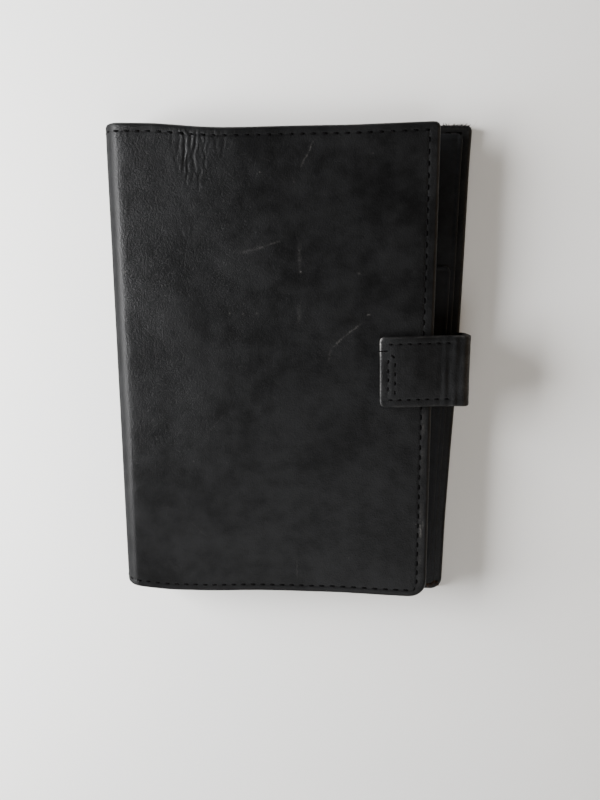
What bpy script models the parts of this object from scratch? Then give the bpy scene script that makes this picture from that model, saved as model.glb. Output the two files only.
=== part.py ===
"""Travel document organizer: a black leather bifold wallet closed by a snap tab.

Units are metres and +Z is up. The organizer lies closed on its back cover, with
the spine towards -X and the tab wrapped over the free edges at +X. The origin is
the centre of the footprint, on the surface that it lies on.

Five rigid groups are joined in a chain. The back cover carries the spine, the
spine carries the front cover, and the back cover also carries the riser of the
tab, which carries the flap that snaps onto the front cover.
"""
import math

import bmesh
import bpy
from mathutils import Matrix, Vector

MM = 0.001

# Driving dimensions, closed and lying flat.
BACK_WIDTH = 111.0 * MM       # outer face of the spine to the free edge
BACK_HEIGHT = 151.2 * MM
FRONT_WIDTH = 101.0 * MM
FRONT_HEIGHT = 149.2 * MM
THICKNESS = 13.0 * MM         # under the back cover to the top of the front cover

# Layers. Touching pieces are modelled a small gap apart.
GAP = 0.25 * MM
LEATHER = 0.9 * MM
BOARD = 0.35 * MM
HEM = 0.45 * MM               # leather skived thin where it is turned over
LINING = 0.25 * MM
ANCHOR = 0.4 * MM
PANEL = 0.5 * MM
SLOT = 0.4 * MM

# Cover construction.
HEM_WIDTH = 7.0 * MM
FREE_CORNER = 4.0 * MM        # radius of the rounded free corners
UPPER_CORNER = 1.6 * MM       # the upper free corners are nearly square
SEAM_INSET = 2.4 * MM
SEAM_START = 6.0 * MM         # the seam begins this far from the spine
GROOVE_HALF_WIDTH = 0.4 * MM
GROOVE_DEPTH = 0.55 * MM
THREAD_RADIUS = 0.15 * MM

# Hinge folds. The axis lies on the inner faces' corner, and both plates stop short.
FOLD_CLEARANCE = 0.3 * MM

# Boards and pockets start clear of the rounded inside of the spine.
INNER_START = 7.0 * MM
SPINE_STAY_WIDTH = 4.2 * MM

# Inner pockets.
TICKET_INSET = 2.8 * MM
PASSPORT_INSET = 4.4 * MM
PASSPORT_TOP = 34.0 * MM      # the mouth's height above mid-height
THUMB_NOTCH_RADIUS = 11.0 * MM
THUMB_NOTCH_DEPTH = 6.0 * MM
CARD_PANEL_INSET = 2.8 * MM
CARD_SLOTS = 4
CARD_SLOT_PITCH = 14.0 * MM
CARD_SLOT_LENGTH = 18.0 * MM
CARD_SLOT_SIDE = 1.0 * MM
FIRST_CARD_SLOT = -55.0 * MM  # middle of the lowest slot's strip

# Tab: two plies of leather around the free edges.
TAB_BOTTOM = -9.1 * MM
TAB_TOP = 12.8 * MM
TAB_START = 85.5 * MM         # free end, from the outer face of the spine
TAB_LIFT = 0.9 * MM           # room for the snap under the flap
INNER_PLY = 0.6 * MM
TAB_CORNER = 1.5 * MM
ANCHOR_LENGTH = 15.0 * MM
TAB_SEAM_INSET = 2.3 * MM
TAB_SEAM_END = 3.4 * MM       # the tab's seam stops this far from the fold

# Snap, centred on the flap's width.
SNAP_FROM_END = 8.5 * MM
SNAP_SEGMENTS = 32
POST_HEAD_RADIUS = 3.9 * MM
POST_HEAD_HOLE = 4.2 * MM
POST_SHANK_RADIUS = 0.5 * MM
POST_HOLE = 0.85 * MM
STUD_FLANGE_RADIUS = 4.4 * MM
STUD_FLANGE = 0.3 * MM
STUD_NECK_RADIUS = 1.5 * MM
STUD_HEAD_RADIUS = 1.9 * MM
STUD_HEAD_CHAMFER = 0.3 * MM
STUD_ROOF = 0.35 * MM
SOCKET_RADIUS = 4.3 * MM
SOCKET_HOLE = 4.6 * MM
SOCKET_PROUD = 0.1 * MM       # how far the socket stands out of the flap
SOCKET_LIP = 0.2 * MM
SOCKET_MOUTH_RADIUS = 2.3 * MM
SOCKET_CHAMBER_RADIUS = 3.3 * MM
SPRING_RADIUS = 2.75 * MM
SPRING_WIRE = 0.15 * MM
SPRING_OPENING = math.radians(30)
CAP_RADIUS = 4.6 * MM
CAP_HEIGHT = 0.3 * MM
CAP_CHAMFER = 0.15 * MM
CAP_RECESS_RADIUS = 4.9 * MM
CAP_RECESS = 0.55 * MM

# Modelling detail.
ARC_SEGMENTS = 6              # per rounded corner
NOTCH_SEGMENTS = 14
SPRING_POINTS = 28
THREAD_SIDES = 2              # bevel resolution
OVERCUT = 1.0 * MM            # how far a cutter runs past a free face

# Heights above the outer face of a cover, worked out from the layers.
BOARD_LEVEL = LEATHER + GAP
HEM_LEVEL = BOARD_LEVEL + BOARD + GAP
HEM_TOP = HEM_LEVEL + HEM
ANCHOR_LEVEL = HEM_TOP + GAP
TICKET_LEVEL = ANCHOR_LEVEL + ANCHOR + GAP
PASSPORT_LEVEL = TICKET_LEVEL + PANEL + GAP
CARD_PANEL_LEVEL = HEM_TOP + GAP
CARD_SLOT_LEVEL = CARD_PANEL_LEVEL + PANEL + GAP
CARD_SLOT_TILT = math.asin((SLOT + GAP) / CARD_SLOT_PITCH)

# The fold between cover and spine turns about an axis this deep in both.
FOLD_DEPTH = HEM_LEVEL + LINING
PLATE_START = FOLD_DEPTH + FOLD_CLEARANCE

# Tab places, measured from the outer face of the spine and from the ground.
TAB_THICKNESS = INNER_PLY + GAP + LEATHER
TAB_INNER_X = BACK_WIDTH + FOLD_CLEARANCE
TAB_OUTER_X = TAB_INNER_X + TAB_THICKNESS
FLAP_BOTTOM = THICKNESS + TAB_LIFT
RISER_AXIS_Z = ANCHOR_LEVEL
RISER_BOTTOM = RISER_AXIS_Z + FOLD_CLEARANCE
RISER_TOP = FLAP_BOTTOM - FOLD_CLEARANCE
FLAP_END = TAB_INNER_X - FOLD_CLEARANCE
UPPER_PLY_BOTTOM = FLAP_BOTTOM + INNER_PLY + GAP
FLAP_TOP = FLAP_BOTTOM + TAB_THICKNESS
SNAP_X = TAB_START + SNAP_FROM_END
SNAP_Y = (TAB_BOTTOM + TAB_TOP) / 2

# The origin is midway between the spine's outer face and the tab's.
SPINE_X = -TAB_OUTER_X / 2

# Colours are linear RGB.
FINISHES = {
    "leather": ((0.0115, 0.0105, 0.0105), 0.42, 0.0),
    "skived_leather": ((0.018, 0.0155, 0.014), 0.62, 0.0),
    "lining": ((0.014, 0.0135, 0.014), 0.8, 0.0),
    "board": ((0.16, 0.13, 0.095), 0.9, 0.0),
    "thread": ((0.01, 0.0095, 0.0095), 0.55, 0.0),
    "metal": ((0.42, 0.41, 0.39), 0.3, 1.0),
    "spring": ((0.62, 0.47, 0.22), 0.32, 1.0),
}


def clear_scene():
    """Remove everything that the file starts with."""
    for obj in list(bpy.data.objects):
        bpy.data.objects.remove(obj, do_unlink=True)


def new_collection(name):
    """Make a collection in the scene."""
    collection = bpy.data.collections.new(name)
    bpy.context.scene.collection.children.link(collection)
    return collection


def new_material(name, finish):
    """Make a Principled material with one of the finishes."""
    colour, roughness, metallic = FINISHES[finish]
    material = bpy.data.materials.new(name)
    material.use_nodes = True
    shader = material.node_tree.nodes["Principled BSDF"]
    shader.inputs["Base Color"].default_value = (*colour, 1.0)
    shader.inputs["Roughness"].default_value = roughness
    shader.inputs["Metallic"].default_value = metallic
    return material


clear_scene()
PARTS = new_collection("travel_document_organizer")
CUTTERS = new_collection("cutters")


def new_pivot(name, x, z):
    """Place an empty on a fold's axis, which runs along Y."""
    pivot = bpy.data.objects.new(name, None)
    pivot.location = (SPINE_X + x, 0.0, z)
    pivot.empty_display_size = FRONT_WIDTH / 10
    PARTS.objects.link(pivot)
    return pivot


def add_part(obj, pivot, finish):
    """Give a sub-part its own material and hang it on its group's pivot."""
    obj.data.materials.clear()
    obj.data.materials.append(new_material(obj.name, finish))
    obj.parent = pivot
    obj.matrix_parent_inverse = Matrix.Translation(-pivot.location)
    return obj


def rounded_outline(corners):
    """Return the points of a counter-clockwise outline from (x, y, radius) corners."""
    points = []
    count = len(corners)
    for index, (x, y, radius) in enumerate(corners):
        corner = Vector((x, y))
        if radius <= 0.0:
            points.append(corner)
            continue
        before = (Vector(corners[index - 1][:2]) - corner).normalized()
        after = (Vector(corners[(index + 1) % count][:2]) - corner).normalized()
        centre = corner + (before + after) * radius
        start = corner + before * radius - centre
        turn = math.pi / 2
        for step in range(ARC_SEGMENTS + 1):
            angle = turn * step / ARC_SEGMENTS
            rotated = Vector((
                start.x * math.cos(angle) - start.y * math.sin(angle),
                start.x * math.sin(angle) + start.y * math.cos(angle),
            ))
            points.append(centre + rotated)
    return points


def rectangle(left, right, bottom, top, lower_right=0.0, upper_right=0.0, left_corner=0.0):
    """Return a rectangle's outline, with its corners rounded as asked."""
    return rounded_outline([
        (left, bottom, left_corner),
        (right, bottom, lower_right),
        (right, top, upper_right),
        (left, top, left_corner),
    ])


def plate_mesh(name, outline, bottom, top):
    """Extrude a flat outline between two heights and return it as a mesh object."""
    centre = sum(outline, Vector((0.0, 0.0))) / len(outline)
    curve = bpy.data.curves.new(name, "CURVE")
    curve.dimensions = "2D"
    curve.fill_mode = "BOTH"
    curve.extrude = (top - bottom) / 2
    spline = curve.splines.new("POLY")
    spline.points.add(len(outline) - 1)
    for point, place in zip(spline.points, outline):
        point.co = (place.x - centre.x, place.y - centre.y, 0.0, 1.0)
    spline.use_cyclic_u = True
    source = bpy.data.objects.new(name + "_outline", curve)
    source.location = (SPINE_X + centre.x, centre.y, (bottom + top) / 2)
    CUTTERS.objects.link(source)
    bpy.context.view_layer.update()
    evaluated = source.evaluated_get(bpy.context.evaluated_depsgraph_get())
    mesh = bpy.data.meshes.new_from_object(evaluated)
    weld(mesh)
    obj = bpy.data.objects.new(name, mesh)
    obj.matrix_world = source.matrix_world.copy()
    bpy.data.objects.remove(source, do_unlink=True)
    return obj


def weld(mesh):
    """Join the caps of an extruded outline to its sides."""
    merge_distance = 0.01 * MM
    shape = bmesh.new()
    shape.from_mesh(mesh)
    bmesh.ops.remove_doubles(shape, verts=shape.verts, dist=merge_distance)
    shape.to_mesh(mesh)
    shape.free()


def add_plate(name, pivot, finish, outline, bottom, top):
    """Add a flat sub-part."""
    obj = plate_mesh(name, outline, bottom, top)
    PARTS.objects.link(obj)
    return add_part(obj, pivot, finish)


def add_cutter(name, outline, bottom, top):
    """Add a flat cutter, which isn't part of the object."""
    obj = plate_mesh(name, outline, bottom, top)
    CUTTERS.objects.link(obj)
    obj.hide_render = True
    obj.display_type = "WIRE"
    return obj


def cut(obj, cutter):
    """Subtract a cutter from a sub-part."""
    modifier = obj.modifiers.new(cutter.name, "BOOLEAN")
    modifier.operation = "DIFFERENCE"
    modifier.solver = "EXACT"
    modifier.object = cutter


def circle(x, y, radius):
    """Return a round outline."""
    points = []
    for step in range(SNAP_SEGMENTS):
        angle = 2 * math.pi * step / SNAP_SEGMENTS
        points.append(Vector((x + radius * math.cos(angle), y + radius * math.sin(angle))))
    return points


def add_turned(name, pivot, finish, profile, closed):
    """Turn a profile of (radius, height) points about the snap's axis."""
    mesh = bpy.data.meshes.new(name)
    vertices = [(radius, 0.0, height) for radius, height in profile]
    edges = [(index, index + 1) for index in range(len(profile) - 1)]
    if closed:
        edges.append((len(profile) - 1, 0))
    mesh.from_pydata(vertices, edges, [])
    obj = bpy.data.objects.new(name, mesh)
    obj.location = (SPINE_X + SNAP_X, SNAP_Y, 0.0)
    PARTS.objects.link(obj)
    screw = obj.modifiers.new("turn", "SCREW")
    screw.axis = "Z"
    screw.angle = 2 * math.pi
    screw.steps = SNAP_SEGMENTS
    screw.render_steps = SNAP_SEGMENTS
    screw.use_merge_vertices = True
    screw.merge_threshold = 0.01 * MM
    screw.use_smooth_shade = True
    return add_part(obj, pivot, finish)


def add_wire(name, pivot, finish, points, radius, closed=False):
    """Add a round wire or thread along a line of points."""
    curve = bpy.data.curves.new(name, "CURVE")
    curve.dimensions = "3D"
    curve.bevel_depth = radius
    curve.bevel_resolution = THREAD_SIDES
    curve.use_fill_caps = not closed
    spline = curve.splines.new("POLY")
    spline.points.add(len(points) - 1)
    for point, place in zip(spline.points, points):
        point.co = (*place, 1.0)
    spline.use_cyclic_u = closed
    obj = bpy.data.objects.new(name, curve)
    obj.location = (SPINE_X, 0.0, 0.0)
    PARTS.objects.link(obj)
    return add_part(obj, pivot, finish)


def seam_path(start, right, top, bottom, height):
    """Return the open seam around a cover's three free edges."""
    return [
        Vector((start, top, height)),
        Vector((right, top, height)),
        Vector((right, bottom, height)),
        Vector((start, bottom, height)),
    ]


def seam_groove(start, right, top, bottom):
    """Return the outline of the groove that an open seam lies in."""
    half = GROOVE_HALF_WIDTH
    corners = [
        (start - half, top - half),
        (start - half, top + half),
        (right + half, top + half),
        (right + half, bottom - half),
        (start - half, bottom - half),
        (start - half, bottom + half),
        (right - half, bottom + half),
        (right - half, top - half),
    ]
    return [Vector(corner) for corner in reversed(corners)]


def cover_levels(low, high, turned_over):
    """Return heights above the ground for heights above a cover's outer face."""
    if turned_over:
        return THICKNESS - high, THICKNESS - low
    return low, high


def build_cover(side, pivot, width, height, turned_over):
    """Build a cover's leather with its turned hem, board, lining and outer seam."""
    half = height / 2
    start = PLATE_START
    leather = add_plate(
        side + "_cover_leather", pivot, "leather",
        rectangle(start, width, -half, half, FREE_CORNER, UPPER_CORNER),
        *cover_levels(0.0, HEM_TOP, turned_over),
    )
    inner = half - LEATHER
    inner_round = FREE_CORNER - LEATHER
    inner_upper_round = UPPER_CORNER - LEATHER
    cut(leather, add_cutter(
        side + "_cover_fold_space",
        rectangle(start - OVERCUT, width - LEATHER, -inner, inner, inner_round, inner_upper_round),
        *cover_levels(LEATHER, HEM_LEVEL, turned_over),
    ))
    window = half - HEM_WIDTH
    cut(leather, add_cutter(
        side + "_cover_window",
        rectangle(start - OVERCUT, width - HEM_WIDTH, -window, window),
        *cover_levels((LEATHER + HEM_LEVEL) / 2, HEM_TOP + OVERCUT, turned_over),
    ))
    board_half = inner - GAP
    board = add_plate(
        side + "_cover_stiffener", pivot, "board",
        rectangle(
            INNER_START, width - LEATHER - GAP, -board_half, board_half,
            inner_round - GAP, inner_upper_round - GAP,
        ),
        *cover_levels(BOARD_LEVEL, BOARD_LEVEL + BOARD, turned_over),
    )
    lining_half = window - GAP
    lining = add_plate(
        side + "_cover_lining", pivot, "lining",
        rectangle(start, width - HEM_WIDTH - GAP, -lining_half, lining_half),
        *cover_levels(HEM_LEVEL, HEM_LEVEL + LINING, turned_over),
    )
    build_cover_seam(side, pivot, leather, width, half, turned_over)
    return leather, board, lining


def build_cover_seam(side, pivot, leather, width, half, turned_over):
    """Press the seam's groove into a cover and lay the thread in it."""
    right = width - SEAM_INSET
    top = half - SEAM_INSET
    cut(leather, add_cutter(
        side + "_cover_seam_groove",
        seam_groove(SEAM_START, right, top, -top),
        *cover_levels(-OVERCUT, GROOVE_DEPTH, turned_over),
    ))
    thread_low = GROOVE_DEPTH - GAP - 2 * THREAD_RADIUS
    thread_level = cover_levels(thread_low, thread_low + 2 * THREAD_RADIUS, turned_over)
    add_wire(
        side + "_cover_thread", pivot, "thread",
        seam_path(SEAM_START, right, top, -top, sum(thread_level) / 2),
        THREAD_RADIUS,
    )


def build_spine(pivot):
    """Build the narrow middle panel that the two covers fold on."""
    half = FRONT_HEIGHT / 2
    inner_half = half - LEATHER - GAP
    plate_width = THICKNESS - 2 * PLATE_START
    layers = (
        ("spine_leather", "leather", 0.0, LEATHER, half, plate_width),
        ("spine_stay", "board", BOARD_LEVEL, BOARD_LEVEL + BOARD, inner_half, SPINE_STAY_WIDTH),
        ("spine_lining", "lining", HEM_LEVEL, HEM_LEVEL + LINING, inner_half, plate_width),
    )
    for name, finish, near, far, half_height, width in layers:
        add_plate(
            name, pivot, finish,
            rectangle(near, far, -half_height, half_height),
            (THICKNESS - width) / 2, (THICKNESS + width) / 2,
        )


def passport_outline(right, bottom):
    """Return the passport pocket's outline, with a thumb notch in its mouth."""
    middle = (INNER_START + right) / 2
    centre_y = PASSPORT_TOP + THUMB_NOTCH_RADIUS - THUMB_NOTCH_DEPTH
    reach = math.acos((PASSPORT_TOP - centre_y) / -THUMB_NOTCH_RADIUS)
    points = rounded_outline([
        (INNER_START, bottom, 0.0),
        (right, bottom, FREE_CORNER / 2),
        (right, PASSPORT_TOP, 0.0),
    ])
    for step in range(NOTCH_SEGMENTS + 1):
        angle = -math.pi / 2 + reach * (1 - 2 * step / NOTCH_SEGMENTS)
        points.append(Vector((
            middle + THUMB_NOTCH_RADIUS * math.cos(angle),
            centre_y + THUMB_NOTCH_RADIUS * math.sin(angle),
        )))
    points.append(Vector((INNER_START, PASSPORT_TOP)))
    return points


def build_back_pockets(pivot):
    """Build the full-height ticket pocket and the passport pocket in front of it."""
    ticket_half = BACK_HEIGHT / 2 - TICKET_INSET
    add_plate(
        "ticket_pocket_panel", pivot, "leather",
        rectangle(
            INNER_START, BACK_WIDTH - TICKET_INSET, -ticket_half, ticket_half,
            FREE_CORNER / 2, UPPER_CORNER / 2,
        ),
        TICKET_LEVEL, TICKET_LEVEL + PANEL,
    )
    add_plate(
        "passport_pocket_panel", pivot, "leather",
        passport_outline(BACK_WIDTH - PASSPORT_INSET, PASSPORT_INSET - BACK_HEIGHT / 2),
        PASSPORT_LEVEL, PASSPORT_LEVEL + PANEL,
    )


def build_card_pockets(pivot):
    """Build the slip pocket inside the front cover and the card slots on it."""
    half = FRONT_HEIGHT / 2 - CARD_PANEL_INSET
    right = FRONT_WIDTH - CARD_PANEL_INSET
    add_plate(
        "slip_pocket_panel", pivot, "leather",
        rectangle(INNER_START, right, -half, half, FREE_CORNER / 2, UPPER_CORNER / 2),
        *cover_levels(CARD_PANEL_LEVEL, CARD_PANEL_LEVEL + PANEL, True),
    )
    rise = CARD_SLOT_LENGTH * math.sin(CARD_SLOT_TILT) + SLOT * math.cos(CARD_SLOT_TILT)
    level = CARD_SLOT_LEVEL + rise / 2
    for index in range(CARD_SLOTS):
        middle = FIRST_CARD_SLOT + index * CARD_SLOT_PITCH
        slot = add_plate(
            "card_slot_%d" % (index + 1), pivot, "leather",
            rectangle(
                INNER_START + CARD_SLOT_SIDE, right - CARD_SLOT_SIDE,
                middle - CARD_SLOT_LENGTH / 2, middle + CARD_SLOT_LENGTH / 2,
            ),
            *cover_levels(level - SLOT / 2, level + SLOT / 2, True),
        )
        slot.rotation_euler.x = -CARD_SLOT_TILT


def build_tab(anchor_pivot, riser_pivot, flap_pivot, front_leather, front_board):
    """Build the tab's anchor, riser and flap, and the snap that holds it shut."""
    add_plate(
        "tab_anchor", anchor_pivot, "skived_leather",
        rectangle(BACK_WIDTH - ANCHOR_LENGTH, BACK_WIDTH, TAB_BOTTOM, TAB_TOP),
        ANCHOR_LEVEL, ANCHOR_LEVEL + ANCHOR,
    )
    riser_layers = (
        ("tab_riser_lining", TAB_INNER_X, TAB_INNER_X + INNER_PLY),
        ("tab_riser_leather", TAB_OUTER_X - LEATHER, TAB_OUTER_X),
    )
    for name, near, far in riser_layers:
        add_plate(
            name, riser_pivot, "leather",
            rectangle(near, far, TAB_BOTTOM, TAB_TOP),
            RISER_BOTTOM, RISER_TOP,
        )
    outline = rectangle(TAB_START, FLAP_END, TAB_BOTTOM, TAB_TOP, left_corner=TAB_CORNER)
    lower = add_plate(
        "tab_flap_lining", flap_pivot, "leather", outline, FLAP_BOTTOM, FLAP_BOTTOM + INNER_PLY,
    )
    upper = add_plate("tab_flap_leather", flap_pivot, "leather", outline, UPPER_PLY_BOTTOM, FLAP_TOP)
    cut(lower, add_cutter(
        "socket_hole", circle(SNAP_X, SNAP_Y, SOCKET_HOLE),
        FLAP_BOTTOM - OVERCUT, FLAP_BOTTOM + INNER_PLY + GAP / 2,
    ))
    cut(upper, add_cutter(
        "cap_recess", circle(SNAP_X, SNAP_Y, CAP_RECESS_RADIUS),
        UPPER_PLY_BOTTOM - GAP / 2, UPPER_PLY_BOTTOM + CAP_RECESS,
    ))
    build_tab_seam(flap_pivot, upper)
    build_snap_male(front_leather, front_board)
    build_snap_female(flap_pivot)


def build_tab_seam(pivot, leather):
    """Press a closed seam groove into the flap and lay the thread in it."""
    half = GROOVE_HALF_WIDTH
    left = TAB_START + TAB_SEAM_INSET
    right = FLAP_END - TAB_SEAM_END
    bottom = TAB_BOTTOM + TAB_SEAM_INSET
    top = TAB_TOP - TAB_SEAM_INSET
    groove = add_cutter(
        "tab_seam_groove", rectangle(left - half, right + half, bottom - half, top + half),
        FLAP_TOP - GROOVE_DEPTH, FLAP_TOP + OVERCUT,
    )
    island = add_cutter(
        "tab_seam_island", rectangle(left + half, right - half, bottom + half, top - half),
        FLAP_TOP - GROOVE_DEPTH - OVERCUT, FLAP_TOP + 2 * OVERCUT,
    )
    cut(groove, island)
    cut(leather, groove)
    height = FLAP_TOP - GROOVE_DEPTH + GAP + THREAD_RADIUS
    corners = ((left, bottom), (right, bottom), (right, top), (left, top))
    add_wire(
        "tab_thread", pivot, "thread",
        [Vector((x, y, height)) for x, y in corners], THREAD_RADIUS, closed=True,
    )


def build_snap_male(leather, board):
    """Build the stud on the front cover and the post that rivets it from inside."""
    pivot = leather.parent
    cut(leather, add_cutter(
        "post_hole", circle(SNAP_X, SNAP_Y, POST_HOLE),
        THICKNESS - LEATHER - GAP / 2, THICKNESS + OVERCUT,
    ))
    cut(board, add_cutter(
        "post_head_hole", circle(SNAP_X, SNAP_Y, POST_HEAD_HOLE),
        THICKNESS - BOARD_LEVEL - BOARD - GAP / 2, THICKNESS - LEATHER - GAP / 2,
    ))
    base = THICKNESS + GAP
    flange_top = base + STUD_FLANGE
    head_top = FLAP_BOTTOM + INNER_PLY
    head_low = head_top - 2 * STUD_HEAD_CHAMFER
    neck_top = head_low - STUD_HEAD_CHAMFER
    roof = head_top - STUD_ROOF
    add_turned("snap_stud", pivot, "metal", [
        (0.0, head_top),
        (STUD_HEAD_RADIUS - STUD_HEAD_CHAMFER, head_top),
        (STUD_HEAD_RADIUS, head_top - STUD_HEAD_CHAMFER),
        (STUD_HEAD_RADIUS, head_low),
        (STUD_NECK_RADIUS, neck_top),
        (STUD_NECK_RADIUS, flange_top),
        (STUD_FLANGE_RADIUS, flange_top),
        (STUD_FLANGE_RADIUS, base),
        (POST_HOLE, base),
        (POST_HOLE, roof),
        (0.0, roof),
    ], closed=False)
    post_top = roof - GAP
    head_level = THICKNESS - BOARD_LEVEL
    add_turned("snap_stud_post", pivot, "metal", [
        (0.0, post_top),
        (POST_SHANK_RADIUS, post_top),
        (POST_SHANK_RADIUS, head_level),
        (POST_HEAD_RADIUS, head_level),
        (POST_HEAD_RADIUS, head_level - BOARD),
        (0.0, head_level - BOARD),
    ], closed=False)


def build_snap_female(pivot):
    """Build the socket, its ring spring and the covered cap in the flap."""
    low = FLAP_BOTTOM - SOCKET_PROUD
    high = FLAP_BOTTOM + INNER_PLY
    add_turned("snap_socket", pivot, "metal", [
        (SOCKET_RADIUS, high),
        (SOCKET_RADIUS, low),
        (SOCKET_MOUTH_RADIUS, low),
        (SOCKET_MOUTH_RADIUS, low + SOCKET_LIP),
        (SOCKET_CHAMBER_RADIUS, low + SOCKET_LIP),
        (SOCKET_CHAMBER_RADIUS, high),
    ], closed=True)
    spring_height = (low + SOCKET_LIP + high) / 2
    sweep = 2 * math.pi - SPRING_OPENING
    turns = [SPRING_OPENING / 2 + sweep * step / (SPRING_POINTS - 1) for step in range(SPRING_POINTS)]
    add_wire("snap_ring_spring", pivot, "spring", [
        Vector((
            SNAP_X + SPRING_RADIUS * math.cos(turn),
            SNAP_Y + SPRING_RADIUS * math.sin(turn),
            spring_height,
        ))
        for turn in turns
    ], SPRING_WIRE)
    add_turned("snap_cap", pivot, "metal", [
        (0.0, UPPER_PLY_BOTTOM + CAP_HEIGHT),
        (CAP_RADIUS - CAP_CHAMFER, UPPER_PLY_BOTTOM + CAP_HEIGHT),
        (CAP_RADIUS, UPPER_PLY_BOTTOM + CAP_HEIGHT - CAP_CHAMFER),
        (CAP_RADIUS, UPPER_PLY_BOTTOM),
        (0.0, UPPER_PLY_BOTTOM),
    ], closed=False)


def build_organizer():
    """Build the five groups on the axes of their folds."""
    base = new_pivot("back_cover_base", BACK_WIDTH / 2, 0.0)
    spine = new_pivot("spine_fold", FOLD_DEPTH, FOLD_DEPTH)
    front = new_pivot("front_cover_fold", FOLD_DEPTH, THICKNESS - FOLD_DEPTH)
    riser = new_pivot("tab_riser_fold", TAB_INNER_X, RISER_AXIS_Z)
    flap = new_pivot("tab_flap_fold", TAB_INNER_X, FLAP_BOTTOM)
    build_cover("back", base, BACK_WIDTH, BACK_HEIGHT, False)
    build_back_pockets(base)
    build_spine(spine)
    front_leather, front_board, _ = build_cover("front", front, FRONT_WIDTH, FRONT_HEIGHT, True)
    build_card_pockets(front)
    build_tab(base, riser, flap, front_leather, front_board)


build_organizer()
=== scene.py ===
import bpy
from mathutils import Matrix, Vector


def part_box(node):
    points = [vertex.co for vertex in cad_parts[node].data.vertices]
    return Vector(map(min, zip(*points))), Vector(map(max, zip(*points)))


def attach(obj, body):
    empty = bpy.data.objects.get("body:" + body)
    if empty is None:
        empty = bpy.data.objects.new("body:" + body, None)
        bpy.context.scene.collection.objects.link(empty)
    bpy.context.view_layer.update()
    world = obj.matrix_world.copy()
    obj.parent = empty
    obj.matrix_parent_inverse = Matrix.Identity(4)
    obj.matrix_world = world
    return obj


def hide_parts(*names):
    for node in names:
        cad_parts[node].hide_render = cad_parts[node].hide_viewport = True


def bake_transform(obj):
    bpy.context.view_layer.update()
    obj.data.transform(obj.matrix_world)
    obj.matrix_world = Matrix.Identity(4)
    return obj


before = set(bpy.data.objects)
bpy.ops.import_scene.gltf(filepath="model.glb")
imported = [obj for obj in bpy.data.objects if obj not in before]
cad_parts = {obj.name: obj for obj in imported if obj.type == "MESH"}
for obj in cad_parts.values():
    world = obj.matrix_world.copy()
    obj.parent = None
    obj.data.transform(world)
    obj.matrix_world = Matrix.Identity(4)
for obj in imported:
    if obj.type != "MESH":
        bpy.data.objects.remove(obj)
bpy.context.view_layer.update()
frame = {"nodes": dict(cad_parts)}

import math

import bmesh
import bpy
import numpy as np
from mathutils import Vector

MM = 0.001
RNG = np.random.default_rng(7)


def mm_box(node):
    """Return a CAD node's lowest and highest corners in millimetres."""
    low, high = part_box(node)
    return np.array(low) / MM, np.array(high) / MM


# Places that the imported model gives, in millimetres of the shared frame.
SPINE_LOW, SPINE_HIGH = mm_box("spine_leather")
FRONT_LOW, FRONT_HIGH = mm_box("front_cover_leather")
BACK_LOW, BACK_HIGH = mm_box("back_cover_leather")
FLAP_LOW, FLAP_HIGH = mm_box("tab_flap_leather")
FLAP_LINING_LOW, FLAP_LINING_HIGH = mm_box("tab_flap_lining")
RISER_LOW, RISER_HIGH = mm_box("tab_riser_leather")
RISER_LINING_LOW, RISER_LINING_HIGH = mm_box("tab_riser_lining")
ANCHOR_LOW, ANCHOR_HIGH = mm_box("tab_anchor")
STUD_LOW, STUD_HIGH = mm_box("snap_stud")
SOCKET_LOW, SOCKET_HIGH = mm_box("snap_socket")
SPINE_X = SPINE_LOW[0]
THICKNESS = FRONT_HIGH[2]

# The outer leather runs round the spine with this bend.
BEND = 6.0
FLAT = THICKNESS / 2 - BEND
ARC = BEND * math.pi / 2
UNROLLED = FLAT + ARC - BEND      # an unrolled place is this much past the one in plan

# Depths below the outer face of a cover.
HEM_TOP = FRONT_HIGH[2] - FRONT_LOW[2]
HEM_UNDER = HEM_TOP - 0.45
LEATHER_UNDER = 0.95
LINING_NEAR, LINING_FAR = 1.52, 1.70
BOARD_NEAR, BOARD_FAR = 1.15, 1.48
ROLL = HEM_TOP / 2
HEM_WIDTH = 7.0
SEAM_INSET = 2.4
SEAM_EXTRA = 0.8                  # the seam runs this much further in along the free edge
STITCH_PITCH = 3.3
EDGE_INSETS = (
    ROLL, 0.95, 1.45, 1.8, 2.05, 2.25, SEAM_INSET, 2.55, 2.75, 3.05, 3.5, 4.2, 5.2, 6.1, HEM_WIDTH, 8.2,
)
FREE_INSETS = tuple(inset + (SEAM_EXTRA if 1.4 < inset < 4.0 else 0.0) for inset in EDGE_INSETS)

# Distances in from a cover's free edges, and where what lies on a cover begins beside the spine.
BOARD_INSET, LINING_INSET = 1.35, 5.5
POCKET_INSET, PASSPORT_INSET = 2.8, 4.4
PANEL_START = 7.0 + UNROLLED
PANEL_CORNER = 2.0
NOTCH_RADIUS, NOTCH_RISE = 11.0, 5.0

# Grid lines nearer to a kept one than this share of their spacing are left out.
CLOSEST = 0.34


def ramp(value, start, end):
    """Rise smoothly from 0 at start to 1 at end."""
    t = np.clip((value - start) / (end - start), 0.0, 1.0)
    return t * t * (3 - 2 * t)


def bump(value, centre, width):
    """Return a smooth bump of height 1."""
    return np.exp(-(((value - centre) / width) ** 2))


def smooth_curve(places, values):
    """Return a function that passes softly along given points."""
    table = np.linspace(places[0], places[-1], 600)
    rough = np.interp(table, places, values)
    kernel = np.hanning(81)
    padded = np.pad(rough, 40, mode="edge")
    soft = np.convolve(padded, kernel / kernel.sum(), mode="valid")
    return lambda x: np.interp(x, table, soft)


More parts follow.
